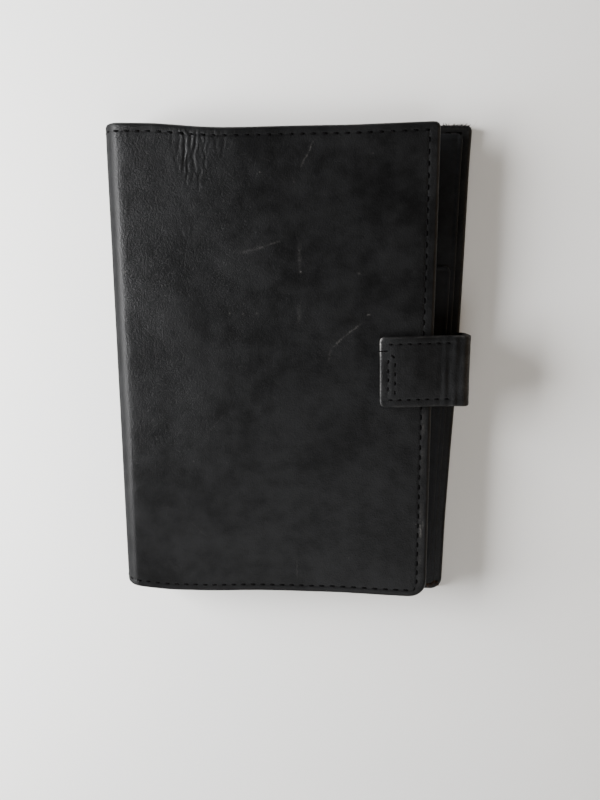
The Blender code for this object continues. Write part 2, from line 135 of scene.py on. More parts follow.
def lines(low, high, step, exact=(), zones=()):
    """Return grid lines: even ones, finer ones in zones, and some at exact places."""
    found = list(np.linspace(low, high, max(2, int(round((high - low) / step)) + 1)))
    for start, end, fine in zones:
        found += list(np.arange(start, end, fine))
    exact = sorted({low, high, *exact})
    kept = list(exact)
    for value in sorted(found):
        gap = min(abs(value - other) for other in kept)
        if low < value < high and gap > CLOSEST * step_at(value, step, zones):
            kept.append(value)
    return np.array(sorted(kept))


def step_at(value, step, zones):
    """Return the spacing asked for at a place."""
    for start, end, fine in zones:
        if start <= value <= end:
            return fine
    return step


def waves(u, v, size, seed, count=9):
    """Return soft, seeded, uneven swells between about -1 and 1."""
    rng = np.random.default_rng(seed)
    total = np.zeros(np.broadcast(u, v).shape)
    for _ in range(count):
        angle = rng.uniform(0, 2 * math.pi)
        length = size * rng.uniform(0.6, 1.8)
        phase = rng.uniform(0, 2 * math.pi)
        along = u * math.cos(angle) + v * math.sin(angle)
        total = total + np.sin(2 * math.pi * along / length + phase)
    return total / math.sqrt(count * 2)


def to_segment(u, v, start, end):
    """Return the distance to a segment, and how far along it the nearest place is."""
    step = (end[0] - start[0], end[1] - start[1])
    share = ((u - start[0]) * step[0] + (v - start[1]) * step[1]) / (step[0] ** 2 + step[1] ** 2)
    share = np.clip(share, 0.0, 1.0)
    return np.hypot(u - start[0] - share * step[0], v - start[1] - share * step[1]), share


def round_corner(across, along):
    """Return which places lie in a square corner, and the scale that makes it round."""
    inside = (across > 0) & (along > 0)
    reach = np.maximum(np.hypot(across, along), 1e-6)
    return inside, np.where(inside, np.maximum(across, along) / reach, 1.0)


def nearest(values, place):
    """Return the number of the grid line nearest to a place."""
    return int(np.argmin(np.abs(values - place)))


def at_places(grid, path):
    """Return the points of a grid along a path of (i, j) places."""
    return np.array([grid[place] for place in path])


# ---------------------------------------------------------------- meshes

class Shape:
    """A mesh being made: points in millimetres, their unrolled places, wear (which also carries painted
    highlights) and faces.
    """

    def __init__(self):
        self.points, self.rest, self.wear, self.faces = [], [], [], []
        self.count = 0

    def add(self, points, rest, wear=0.0):
        """Add points and return their numbers in an array of the same shape."""
        shape = points.shape[:-1]
        number = int(np.prod(shape))
        self.points.append(points.reshape(-1, 3))
        self.rest.append(np.broadcast_to(rest, points.shape).reshape(-1, 3))
        self.wear.append(np.broadcast_to(wear, shape).ravel())
        self.count += number
        return np.arange(self.count - number, self.count).reshape(shape)

    def quads(self, grid, keep=None):
        """Fill a grid of points, or only the cells that are kept."""
        cells = np.stack([grid[:-1, :-1], grid[1:, :-1], grid[1:, 1:], grid[:-1, 1:]], -1)
        cells = cells.reshape(-1, 4) if keep is None else cells[keep]
        self.faces += cells.tolist()

    def tube(self, grid, capped=True):
        """Close rings of points into a tube, with a face at each end."""
        self.quads(np.concatenate([grid, grid[:, :1]], 1))
        if capped:
            self.faces += [grid[0].tolist(), grid[-1][::-1].tolist()]

    def build(self, name, material, sharp=40.0):
        """Make the mesh object, with its normals outwards."""
        mesh = bpy.data.meshes.new(name)
        points = np.concatenate(self.points) * MM
        mesh.from_pydata(points.tolist(), [], self.faces)
        rest = mesh.attributes.new("rest", "FLOAT_VECTOR", "POINT")
        rest.data.foreach_set("vector", np.concatenate(self.rest).astype(np.float32).ravel())
        wear = mesh.attributes.new("wear", "FLOAT", "POINT")
        wear.data.foreach_set("value", np.concatenate(self.wear).astype(np.float32))
        shape = bmesh.new()
        shape.from_mesh(mesh)
        bmesh.ops.recalc_face_normals(shape, faces=shape.faces)
        shape.to_mesh(mesh)
        shape.free()
        mesh.shade_smooth()
        mesh.set_sharp_from_angle(angle=math.radians(sharp))
        mesh.materials.append(material)
        obj = bpy.data.objects.new(name, mesh)
        bpy.context.scene.collection.objects.link(obj)
        return obj


def pack(*parts):
    """Stack broadcast arrays as the last axis."""
    return np.stack(np.broadcast_arrays(*parts), -1)


# ---------------------------------------------------------------- the covers

class Cover:
    """A cover with its half of the spine, unrolled: u from mid-spine to the free edge, v up."""

    def __init__(self, box, sign, corners, top, bottom, right):
        self.sign = sign
        self.length = box[1][0] - SPINE_X + UNROLLED
        self.half = box[1][1]
        self.upper, self.lower = corners
        self.top, self.bottom, self.right = top, bottom, right

    def inset(self, u, v):
        """Return the distance in from the nearest free edge."""
        return np.minimum(self.length - u, self.half - np.abs(v))

    def past_seam(self, u, v):
        """Return the distance in from the seam, below 0 between the seam and the edge."""
        return np.minimum(self.length - u - SEAM_EXTRA, self.half - np.abs(v)) - SEAM_INSET

    def place(self, u, v, depth):
        """Return the point that lies this deep under the outer face."""
        u, v, depth = np.broadcast_arrays(u, v, depth)
        radius = np.where(v > 0, self.upper, self.lower)
        across = u - (self.length - radius)
        along = np.abs(v) - (self.half - radius)
        inside, scale = round_corner(across, along)
        run = np.where(inside, self.length - radius + across * scale, u)
        tall = np.where(inside, np.sign(v) * (self.half - radius + along * scale), v)
        y = tall + self.top(run) * ramp(tall, self.half - 40, self.half - 8)
        y = y - self.bottom(run) * ramp(-tall, self.half - 40, self.half - 8)
        run = run + self.right(tall) * ramp(run, self.length - 40, self.length - 8)
        turn = np.clip((run - FLAT) / BEND, 0.0, math.pi / 2)
        x = BEND - (BEND - depth) * np.cos(turn) + np.maximum(run - FLAT - ARC, 0.0)
        z = THICKNESS / 2 + np.minimum(run, FLAT) + (BEND - depth) * np.sin(turn)
        if self.sign < 0:
            z = THICKNESS - z
        return pack(SPINE_X + x, y, z)

    def rest(self, u, v, depth):
        """Return the unrolled place, which the patterns are drawn on."""
        return pack(self.sign * np.asarray(u), v, depth)

    def relief(self, u, v):
        """Return how far the outer face stands out, before its creases."""
        past = self.past_seam(u, v)
        edge_run = np.where(self.length - u < self.half - np.abs(v), v, u)
        out = -0.10 * bump(past, 0.0, 0.34)
        out = out + 0.03 * bump(past, -1.0, 0.5) + 0.05 * ramp(past, 0.3, 5.0)
        out = out + 0.02 * np.cos(2 * math.pi * edge_run / STITCH_PITCH) * bump(past, 0.0, 1.3)
        swell = 0.10 * waves(u, v, 30.0, 11 if self.sign > 0 else 12)
        swell = swell + 0.035 * waves(u, v, 9.0, 13 if self.sign > 0 else 14)
        return out + swell * ramp(u, 0.5, 9.0)

    def wear(self, u, v):
        """Return how worn the outer face is near its edges, plus a painted highlight on the welt by the
        lower part of the free edge.
        """
        inset = self.inset(u, v)
        patchy = 0.5 + 0.5 * waves(u, v, 14.0, 21)
        edge = 0.30 * bump(inset, 0.15, 0.28) * (0.5 + patchy)
        # Painted highlight, partly rubbing: the welt between the seam and the lower part of the free edge
        # is made pale in broken patches.
        free = ramp(u, self.length - 6.0, self.length - 4.5) * ramp(-v, -16.0, -4.0)
        uneven = ramp(waves(v, v * 0.0, 6.0, 22), -0.7, 0.9)
        welt_rub_and_highlight = 0.5 * bump(self.past_seam(u, v), -0.8, 0.36) * free * uneven
        return np.clip(edge + welt_rub_and_highlight, 0.0, 1.0)


# Each crease goes from one unrolled place to another and is so many millimetres deep.
CREASES = (
    ((29.8, 73.0), (28.7, 60.0), 0.17), ((31.2, 73.0), (31.5, 66.5), 0.15),
    ((31.5, 66.5), (32.9, 61.5), 0.13), ((33.1, 73.0), (31.9, 64.2), 0.14),
    ((34.4, 73.0), (35.7, 66.0), 0.11), ((36.4, 73.0), (34.9, 61.0), 0.11),
    ((38.4, 73.0), (39.9, 66.5), 0.09), ((41.9, 73.0), (41.1, 66.0), 0.08),
    ((28.2, 73.0), (27.5, 65.5), 0.12), ((30.4, 66.0), (29.7, 57.5), 0.10),
    ((33.9, 62.5), (33.5, 55.5), 0.08), ((44.9, 73.0), (44.4, 69.0), 0.07),
    ((26.0, 72.5), (25.6, 68.0), 0.08), ((63.9, -62.7), (63.9, -69.9), 0.06),
    ((28.9, 68.0), (30.2, 62.5), 0.10), ((29.0, 64.5), (31.0, 60.5), 0.09),
    ((32.4, 68.5), (30.6, 63.5), 0.10), ((33.6, 70.0), (34.4, 65.0), 0.09),
    ((35.4, 64.5), (36.4, 59.0), 0.07), ((37.4, 70.5), (36.6, 66.0), 0.08),
    ((30.2, 72.5), (29.9, 69.0), 0.11), ((32.0, 61.0), (31.4, 56.5), 0.07),
    ((39.8, 72.5), (39.2, 68.5), 0.07), ((27.0, 66.0), (27.6, 60.5), 0.08),
)


def crease_relief(u, v):
    """Return the folds that the front cover's upper corner has been given by use."""
    out = np.zeros(np.broadcast(u, v).shape)
    u = u + 0.45 * waves(u * 0.4, v, 4.5, 61) + 0.25 * waves(u, v, 2.6, 62)
    for start, end, deep in CREASES:
        away, share = to_segment(u, v, start, end)
        taper = np.sin(math.pi * np.clip(share * 0.85 + 0.15, 0.0, 1.0)) ** 0.6
        out = out + 0.62 * deep * taper * (0.5 * bump(away, 0.68, 0.3) - bump(away, 0.0, 0.3))
    return out


def front_relief(u, v):
    """Return the front cover's whole relief."""
    return FRONT.relief(u, v) + crease_relief(u, v)


# The covers' corner radii, and how far each free edge stands out from the CAD's straight one.
AT_SPINE_TOP, AT_SPINE_BOTTOM = 75.5, 74.2
FRONT = Cover(
    (FRONT_LOW, FRONT_HIGH), 1, (1.6, 5.6),
    top=smooth_curve(
        (0, 6, 12, 20, 34, 43, 61, 79, 105),
        (AT_SPINE_TOP - FRONT_HIGH[1], 0.9, 0.75, 0.6, -0.6, -0.9, -0.65, -0.6, 0.1),
    ),
    bottom=smooth_curve(
        (0, 6, 10, 20, 34, 48, 62, 78, 92, 105),
        (AT_SPINE_BOTTOM - FRONT_HIGH[1], -0.2, 0.2, 0.95, 0.75, -0.1, -0.4, -0.5, -0.1, 0.05),
    ),
    right=smooth_curve(
        (-75, -70, -50, -20, 10, 40, 60, 75), (2.0, 1.95, 1.6, 1.1, 0.7, 0.45, 0.2, -0.1),
    ),
)
BACK = Cover(
    (BACK_LOW, BACK_HIGH), -1, (1.6, 4.0),
    top=smooth_curve(
        (0, 6, 12, 30, 95, 104, 112, 115),
        (AT_SPINE_TOP - BACK_HIGH[1], -0.2, -0.3, -0.3, -0.2, 0.45, 0.6, 0.2),
    ),
    bottom=smooth_curve((0, 6, 12, 30, 115), (AT_SPINE_BOTTOM - BACK_HIGH[1], -1.0, -0.2, 0.3, 1.5)),
    right=smooth_curve(
        (-76, -51, -33, -19, -12, 12, 23, 45, 64, 76),
        (-1.1, -0.95, -0.5, -0.1, 0.2, 0.45, 0.6, 0.7, 0.75, 1.1),
    ),
)


def skin(name, cover, relief, material, u_zones, v_zones):
    """Build a cover's outer leather, with its edges rolled over and its hem inside."""
    far_u, far_v = cover.length, cover.half
    us = lines(0.0, far_u - ROLL, 1.5, [far_u - inset for inset in FREE_INSETS], u_zones)
    exact = [far_v - inset for inset in EDGE_INSETS]
    vs = lines(ROLL - far_v, far_v - ROLL, 1.6, exact + [-v for v in exact], v_zones)
    u, v = np.meshgrid(us, vs, indexing="ij")
    inset = cover.inset(u, v)
    shape = Shape()

    def layer(depth, worn=0.0):
        return shape.add(cover.place(u, v, depth), cover.rest(u, v, depth), worn)

    outer = layer(-relief(u, v), cover.wear(u, v))
    hem = layer(HEM_TOP - 0.10 * bump(cover.past_seam(u, v), 0.0, 0.4), 0.2 * bump(inset, ROLL, 0.5))
    hem_under = layer(HEM_UNDER)
    inner = layer(LEATHER_UNDER)
    hemmed = inset <= HEM_WIDTH + 1e-6
    keep = hemmed[:-1, :-1] & hemmed[1:, :-1] & hemmed[1:, 1:] & hemmed[:-1, 1:]
    shape.quads(outer)
    shape.quads(inner)
    shape.quads(hem, keep)
    shape.quads(hem_under, keep)
    path = free_path(len(us) - 1, 0, len(vs) - 1)
    sides = [free_side(i, j, len(us), len(vs)) for i, j in path]
    rings = [at_places(outer, path)]
    base_u = np.array([us[i] for i, _ in path])
    base_v = np.array([vs[j] for _, j in path])
    step_u = np.array([side[0] for side in sides])
    step_v = np.array([side[1] for side in sides])
    steps = 8
    for step in range(1, steps):
        angle = math.pi * step / steps
        reach = ROLL * math.sin(angle)
        ring_u, ring_v = base_u + step_u * reach, base_v + step_v * reach
        depth = ROLL - ROLL * math.cos(angle)
        fade = (1 + math.cos(angle)) / 2
        depth_here = depth - fade * relief(base_u, base_v)
        worn = cover.wear(ring_u, ring_v) * (0.4 + 0.6 * math.sin(angle))
        rings.append(shape.add(
            cover.place(ring_u, ring_v, depth_here), cover.rest(ring_u, ring_v, depth_here), worn,
        ))
    rings.append(at_places(hem, path))
    shape.quads(np.array(rings))
    shape.quads(np.array([at_places(hem_under, path), at_places(inner, path)]))
    hem_v = far_v - HEM_WIDTH
    rim = free_path(nearest(us, far_u - HEM_WIDTH), nearest(vs, -hem_v), nearest(vs, hem_v))
    shape.quads(np.array([at_places(hem, rim), at_places(hem_under, rim)]))
    rim_low, rim_high = rim[-1][1], rim[0][1]
    top, bottom = len(vs) - 1, 0
    outline = [outer[0, j] for j in range(len(vs))]
    outline += [ring[0] for ring in rings[1:-1]]
    outline += [hem[0, j] for j in range(top, rim_high - 1, -1)]
    outline += [hem_under[0, j] for j in range(rim_high, top + 1)]
    outline += [inner[0, j] for j in range(top, bottom - 1, -1)]
    outline += [hem_under[0, j] for j in range(bottom, rim_low + 1)]
    outline += [hem[0, j] for j in range(rim_low, bottom - 1, -1)]
    outline += [ring[-1] for ring in reversed(rings[1:-1])]
    shape.faces.append([int(index) for index in outline])
    drop_unused(shape)
    return shape.build(name, material)


def free_path(right, low, high):
    """List the grid places out along a high line, down a right one and back along a low one."""
    path = [(i, high) for i in range(right + 1)]
    path += [(right, j) for j in range(high - 1, low - 1, -1)]
    path += [(i, low) for i in range(right - 1, -1, -1)]
    return path


def free_side(i, j, nu, nv):
    """Return which way is out, at a place on the three free edges."""
    out_u = 1.0 if i == nu - 1 else 0.0
    out_v = 1.0 if j == nv - 1 else -1.0 if j == 0 else 0.0
    return out_u, out_v


def drop_unused(shape):
    """Leave out the points that no face uses."""
    order = np.array(sorted({index for face in shape.faces for index in face}))
    fresh = np.full(shape.count, -1)
    fresh[order] = np.arange(len(order))
    shape.points = [np.concatenate(shape.points)[order]]
    shape.rest = [np.concatenate(shape.rest)[order]]
    shape.wear = [np.concatenate(shape.wear)[order]]
    shape.faces = [[int(fresh[index]) for index in face] for face in shape.faces]
    shape.count = len(order)


def slab(name, material, place, rest, us, vs, near, far, cut=(), wear=None, hole=None, roll=None):
    """Build a flat piece of even grid, with rounded edges except where it is cut."""
    roll = roll or 0.5 * float(np.mean(far(us.mean(), vs.mean()) - near(us.mean(), vs.mean())))
    us, vs = us.copy(), vs.copy()
    us[0] += 0.0 if "start" in cut else roll
    us[-1] -= 0.0 if "end" in cut else roll
    vs[0] += 0.0 if "bottom" in cut else roll
    vs[-1] -= 0.0 if "top" in cut else roll
    nu, nv = len(us), len(vs)
    u, v = np.meshgrid(us, vs, indexing="ij")
    worn = wear(u, v) if wear else np.zeros_like(u)
    shape = Shape()
    upper = shape.add(place(u, v, near(u, v)), rest(u, v, near(u, v)), worn)
    lower = shape.add(place(u, v, far(u, v)), rest(u, v, far(u, v)), worn * 0.5)
    keep = np.ones((nu - 1, nv - 1), bool)
    if hole:
        middle_u, middle_v = (us[1:] + us[:-1]) / 2, (vs[1:] + vs[:-1]) / 2
        inside_u = np.abs(middle_u - hole[0]) < hole[2]
        inside_v = np.abs(middle_v - hole[1]) < hole[2]
        keep = ~(inside_u[:, None] & inside_v[None, :])
        i0, i1 = np.flatnonzero(inside_u)[[0, -1]] + (0, 1)
        j0, j1 = np.flatnonzero(inside_v)[[0, -1]] + (0, 1)
        loop = [(i, j0) for i in range(i0, i1)] + [(i1, j) for j in range(j0, j1)]
        loop += [(i, j1) for i in range(i1, i0, -1)] + [(i0, j) for j in range(j1, j0 - 1, -1)]
        shape.quads(np.array([at_places(upper, loop), at_places(lower, loop)]))
    shape.quads(upper, keep)
    shape.quads(lower, keep)
    path = [(i, 0) for i in range(nu - 1)] + [(nu - 1, j) for j in range(nv - 1)]
    path += [(i, nv - 1) for i in range(nu - 1, 0, -1)] + [(0, j) for j in range(nv - 1, 0, -1)]
    path.append(path[0])

    def side(line, last, first_edge, last_edge):
        """Return which way is out at a grid line, or 0 where the piece is cut or goes on."""
        if line == 0 and first_edge not in cut:
            return -1.0
        return 1.0 if line == last and last_edge not in cut else 0.0

    out_u = np.array([side(i, nu - 1, "start", "end") for i, _ in path])
    out_v = np.array([side(j, nv - 1, "bottom", "top") for _, j in path])
    base_u = np.array([us[i] for i, _ in path])
    base_v = np.array([vs[j] for _, j in path])
    high, low = near(base_u, base_v), far(base_u, base_v)
    rings = [at_places(upper, path)]
    steps = 6
    for step in range(1, steps):
        angle = math.pi * step / steps
        ring_u = base_u + out_u * roll * math.sin(angle)
        ring_v = base_v + out_v * roll * math.sin(angle)
        depth = (high + low) / 2 - (low - high) / 2 * math.cos(angle)
        ring_wear = wear(ring_u, ring_v)[:-1] if wear else 0.0
        ring = shape.add(
            place(ring_u, ring_v, depth)[:-1], rest(ring_u, ring_v, depth)[:-1], ring_wear,
        )
        rings.append(np.append(ring, ring[0]))
    rings.append(at_places(lower, path))
    shape.quads(np.array(rings))
    drop_unused(shape)
    return shape.build(name, material)


def level(value):
    """Return a face at an even depth."""
    return lambda u, v: np.full(np.broadcast(u, v).shape, float(value))


# ---------------------------------------------------------------- stitches and fibres

def even_points(path, pitch):
    """Return places along a line at an even spacing, with the line's direction there."""
    path = np.array(path, float)
    runs = np.hypot(*np.diff(path, axis=0).T)
    total = np.concatenate([[0.0], np.cumsum(runs)])
    at = pitch * (np.arange(int(total[-1] / pitch)) + 0.5)
    centre = np.stack([np.interp(at, total, path[:, axis]) for axis in (0, 1)], -1)
    ahead = np.stack([np.interp(at + 0.4, total, path[:, axis]) for axis in (0, 1)], -1)
    behind = np.stack([np.interp(at - 0.4, total, path[:, axis]) for axis in (0, 1)], -1)
    heading = ahead - behind
    return centre, heading / np.linalg.norm(heading, axis=1)[:, None]


def stitches(name, material, place, height, paths, pitch=STITCH_PITCH, length=2.45, radius=0.36):
    """Build a row of sewn stitches. height gives the depth of the thread's middle line."""
    shape = Shape()
    along = np.array((-1.0, -0.86, -0.5, 0.0, 0.5, 0.86, 1.0))
    fat = np.array((0.35, 0.8, 1.0, 1.0, 1.0, 0.8, 0.35))
    around = np.arange(7) * 2 * math.pi / 7
    for path in paths:
        for centre, heading in zip(*even_points(path, pitch)):
            turn = RNG.normal(0.0, 0.035)
            heading = np.array((
                heading[0] * math.cos(turn) - heading[1] * math.sin(turn),
                heading[0] * math.sin(turn) + heading[1] * math.cos(turn),
            ))
            side = np.array((-heading[1], heading[0]))
            half = length / 2 * RNG.uniform(0.94, 1.05)
            ring = radius * fat[:, None]
            offset_u = along[:, None] * half * heading[0] + ring * np.cos(around) * side[0]
            offset_v = along[:, None] * half * heading[1] + ring * np.cos(around) * side[1]
            middle, outward = height(centre[0], centre[1])
            sink = radius * 1.5 * np.abs(along[:, None]) ** 3
            depth = middle + outward * (sink - 0.6 * ring * np.sin(around))
            points = place(centre[0] + offset_u, centre[1] + offset_v, depth)
            rest = pack(along[:, None] * half, around * radius, centre[0])
            grid = shape.add(points, np.broadcast_to(rest, points.shape))
            shape.tube(grid)
    return shape.build(name, material, sharp=80.0)


def fibres(name, material, body, strands):
    """Build loose leather fibres. A strand is its points and its root's radius."""
    shape = Shape()
    around = np.arange(5) * 2 * math.pi / 5
    for points, radius in strands:
        points = np.array(points, float)
        heading = np.gradient(points, axis=0)
        heading /= np.linalg.norm(heading, axis=1)[:, None]
        side = np.cross(heading, (0.31, 0.17, 0.93))
        side /= np.linalg.norm(side, axis=1)[:, None]
        other = np.cross(heading, side)
        thin = radius * np.linspace(1.0, 0.35, len(points))
        ring = side[:, None] * np.cos(around)[:, None] + other[:, None] * np.sin(around)[:, None]
        grid = shape.add(points[:, None] + ring * thin[:, None, None], np.array((0.0, 0.0, 0.0)))
        shape.tube(grid)
    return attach(shape.build(name, material, sharp=80.0), body)


# ---------------------------------------------------------------- materials

class Nodes:
    """A tree of shader nodes being made."""

    def __init__(self, tree):
        self.tree = tree

    def node(self, kind, inputs=(), **settings):
        """Add a node. inputs pairs a socket's name or number with a value or an output."""
        made = self.tree.nodes.new("ShaderNode" + kind)
        for key, value in settings.items():
            setattr(made, key, value)
        for key, value in dict(inputs).items():
            self.put(made.inputs[key], value)
        return made

    def put(self, socket, value):
        """Link an output to a socket, or set its value."""
        if isinstance(value, bpy.types.NodeSocket):
            self.tree.links.new(value, socket)
        else:
            socket.default_value = value

    def math(self, operation, *values, clamp=False):
        """Work something out."""
        made = self.node("Math", enumerate(values), operation=operation, use_clamp=clamp)
        return made.outputs[0]

    def vector(self, operation, *values, output="Vector"):
        """Work something out with vectors."""
        return self.node("VectorMath", enumerate(values), operation=operation).outputs[output]

    def scaled(self, vector, scale):
        """Make a vector longer or shorter."""
        return self.node("VectorMath", {0: vector, "Scale": scale}, operation="SCALE").outputs[0]


class Look(Nodes):
    """A material being made from nodes."""

    def __init__(self, name, roughness, metallic=0.0, specular=0.5):
        self.material = bpy.data.materials.new(name)
        self.material.use_nodes = True
        super().__init__(self.material.node_tree)
        self.shader = self.tree.nodes["Principled BSDF"]
        self.shader.inputs["Roughness"].default_value = roughness
        self.shader.inputs["Metallic"].default_value = metallic
        self.shader.inputs["Specular IOR Level"].default_value = specular

    def noise(self, vector, scale, detail=2.0, roughness=0.5):
        """Add a noise and return its value."""
        return self.node("TexNoise", {
            "Vector": vector, "Scale": scale, "Detail": detail, "Roughness": roughness,
        }).outputs["Fac"]

    def cells(self, vector, scale, randomness=1.0):
        """Add a pattern of cells and return the distance from their middles."""
        return self.node("TexVoronoi", {
            "Vector": vector, "Scale": scale, "Randomness": randomness,
        }).outputs["Distance"]

    def mapped(self, vector, change, amounts):
        """Turn or scale places."""
        return self.node("Mapping", {"Vector": vector, change: amounts}).outputs[0]

    def spread(self, value, low, high, to_low=0.0, to_high=1.0):
        """Stretch a range of values, smoothly and within limits."""
        return self.node("MapRange", {
            0: value, 1: low, 2: high, 3: to_low, 4: to_high,
        }, interpolation_type="SMOOTHSTEP").outputs[0]

    def blend(self, share, first, second):
        """Blend two colours, each an output or its red, green and blue."""
        made = self.node("Mix", data_type="RGBA")
        self.put(made.inputs[0], share)
        for socket, colour in ((6, first), (7, second)):
            self.put(made.inputs[socket], (*colour, 1.0) if isinstance(colour, tuple) else colour)
        return made.outputs[2]

    def bump(self, height, deep, normal=None, strength=1.0):
        """Raise a height of 0 to 1 by so many millimetres."""
        made = self.node("Bump", {"Strength": strength, "Distance": deep * MM, "Height": height})
        if normal is not None:
            self.put(made.inputs["Normal"], normal)
        return made.outputs["Normal"]

    def places(self, unrolled=True):
        """Return places in millimetres: the unrolled ones of a made piece, or the object's own."""
        if unrolled:
            return self.node("Attribute", attribute_name="rest").outputs["Vector"]
        return self.scaled(self.node("TexCoord").outputs["Object"], 1 / MM)

    def finish(self, colour=None, roughness=None, normal=None):
        """Connect what was worked out to the shader."""
        for name, value in (("Base Color", colour), ("Roughness", roughness), ("Normal", normal)):
            if value is not None:
                self.put(self.shader.inputs[name], value)
        return self.material


def stroke_group():
    """Make the node group that draws one tapering stroke between two places."""
    tree = bpy.data.node_groups.new("stroke", "ShaderNodeTree")
    for name, kind in (
        ("Place", "NodeSocketVector"), ("From", "NodeSocketVector"), ("To", "NodeSocketVector"),
        ("Width", "NodeSocketFloat"), ("Strength", "NodeSocketFloat"),
    ):
        tree.interface.new_socket(name, in_out="INPUT", socket_type=kind)
    tree.interface.new_socket("Mask", in_out="OUTPUT", socket_type="NodeSocketFloat")
    given = tree.nodes.new("NodeGroupInput").outputs
    result = tree.nodes.new("NodeGroupOutput").inputs
    nodes = Nodes(tree)
    offset = nodes.vector("SUBTRACT", given["Place"], given["From"])
    step = nodes.vector("SUBTRACT", given["To"], given["From"])
    along = nodes.vector("DOT_PRODUCT", offset, step, output="Value")
    square = nodes.vector("DOT_PRODUCT", step, step, output="Value")
    share = nodes.math("DIVIDE", along, square, clamp=True)
    away = nodes.vector("SUBTRACT", offset, nodes.scaled(step, share))
    near = nodes.math("DIVIDE", nodes.vector("LENGTH", away, output="Value"), given["Width"])
    soft = nodes.math("SUBTRACT", 1.0, near, clamp=True)
    centred = nodes.math("SUBTRACT", share, 0.5)
    ends = nodes.math("MULTIPLY", centred, centred)
    taper = nodes.math("SUBTRACT", 1.0, nodes.math("MULTIPLY", ends, 3.2))
    mask = nodes.math("MULTIPLY", soft, taper)
    tree.links.new(nodes.math("MULTIPLY", mask, given["Strength"]), result["Mask"])
    return tree


STROKE = stroke_group()


def flattened(look, place):
    """Leave out the depth of a place."""
    return look.vector("MULTIPLY", place, (1.0, 1.0, 0.0))


def draw_strokes(look, place, strokes):
    """Return a mask of strokes: (from, to, width, strength), in unrolled millimetres."""
    flat = flattened(look, place)
    wobble = look.node("TexNoise", {"Vector": flat, "Scale": 0.7, "Detail": 2.0}).outputs["Color"]
    shift = look.scaled(look.vector("SUBTRACT", wobble, (0.5, 0.5, 0.5)), 0.9)
    moved = flattened(look, look.vector("ADD", flat, shift))
    total = None
    for start, end, width, strength in strokes:
        group = look.tree.nodes.new("ShaderNodeGroup")
        group.node_tree = STROKE
        for key, value in (
            ("Place", moved), ("From", (*start, 0.0)), ("To", (*end, 0.0)),
            ("Width", width), ("Strength", strength),
        ):
            look.put(group.inputs[key], value)
        mask = group.outputs["Mask"]
        total = mask if total is None else look.math("MAXIMUM", total, mask)
    broken = look.spread(look.noise(flat, 1.6, 3.0), 0.3, 0.62)
    return look.math("MULTIPLY", total, broken)


# The pale colour is rubbed wear, and where the wear attribute carries them it also paints highlights.
BLACK, RUBBED_AND_HIGHLIT = (0.0047, 0.0048, 0.0050), (0.055, 0.053, 0.050)


def leather(name, strokes=(), base=BLACK, worn=RUBBED_AND_HIGHLIT, roughness=0.34, specular=0.76):
    """Black satin leather: fine grain, uneven polish, worn edges with some painted highlights, scratches
    and specks.
    """
    look = Look(name, roughness, specular=specular)
    look.shader.inputs["IOR"].default_value = 1.18
    place = look.places()
    broad = look.noise(place, 0.045, 3.0)
    patches = look.noise(place, 0.22, 4.0, 0.6)
    cells = look.cells(place, 1.9)
    pores = look.cells(place, 4.3, 0.9)
    fine = look.noise(place, 5.5, 4.0, 0.65)
    grain = look.math("ADD", look.math("MULTIPLY", cells, 0.55), look.math("MULTIPLY", pores, 0.45))
    specks = look.cells(place, 0.16)
    dots = look.math("MULTIPLY", look.spread(specks, 0.07, 0.02), look.spread(patches, 0.56, 0.66))
    marks = look.math("MULTIPLY", dots, 0.8)
    if strokes:
        marks = look.math("MAXIMUM", marks, draw_strokes(look, place, strokes))
    # The wear attribute holds real rubbing plus painted highlights on the covers' lower welt and the flap's
    # free end.
    wear = look.node("Attribute", attribute_name="wear").outputs["Fac"]
    ragged = look.spread(look.noise(place, 1.3, 5.0, 0.7), 0.32, 0.68, 0.35, 1.25)
    rubbed = look.math("MULTIPLY", wear, ragged, clamp=True)
    pale = look.math("MAXIMUM", rubbed, marks, clamp=True)
    dark = tuple(0.55 * part for part in base)
    light = tuple(1.6 * part for part in base)
    uneven = look.math("MULTIPLY_ADD", patches, 0.5, look.math("MULTIPLY", broad, 0.5))
    tone = look.blend(look.spread(uneven, 0.35, 0.65), dark, light)
    colour = look.blend(look.math("POWER", pale, 1.4), tone, worn)
    polish = look.math("MULTIPLY_ADD", broad, 0.12, roughness - 0.06)
    polish = look.math("MULTIPLY_ADD", fine, 0.10, look.math("SUBTRACT", polish, 0.05))
    across = look.math("ABSOLUTE", look.node("SeparateXYZ", {"Vector": place}).outputs[0])
    polish = look.math("ADD", polish, look.spread(across, 9.5, 5.5, 0.0, 0.6))
    rough = look.math("MULTIPLY_ADD", pale, 0.3, polish, clamp=True)
    normal = look.bump(patches, 0.22, strength=0.6)
    normal = look.bump(grain, 0.10, normal, 0.9)
    normal = look.bump(fine, 0.05, normal, 0.8)
    return look.finish(colour, rough, normal)


def twill(name):
    """A dark woven lining with a diagonal rib."""
    look = Look(name, 0.85, specular=0.08)
    look.shader.inputs["Sheen Weight"].default_value = 0.05
    place = look.places()
    turned = look.mapped(place, "Rotation", (0.0, 0.0, math.radians(32)))
    rib = look.node("TexWave", {"Vector": turned, "Scale": 0.6, "Distortion": 0.4}).outputs["Fac"]
    weft = look.node("TexWave", {"Vector": place, "Scale": 1.1, "Distortion": 0.2}, bands_direction="Y")
    cloth = look.math("MULTIPLY_ADD", weft.outputs["Fac"], 0.4, look.math("MULTIPLY", rib, 0.6))
    fuzz = look.noise(place, 6.0, 3.0)
    shade = look.spread(look.math("MULTIPLY_ADD", fuzz, 0.4, cloth), 0.2, 1.2)
    colour = look.blend(shade, (0.005, 0.005, 0.0055), (0.017, 0.0165, 0.018))
    return look.finish(colour, look.spread(fuzz, 0.3, 0.7, 0.7, 0.9), look.bump(cloth, 0.08))


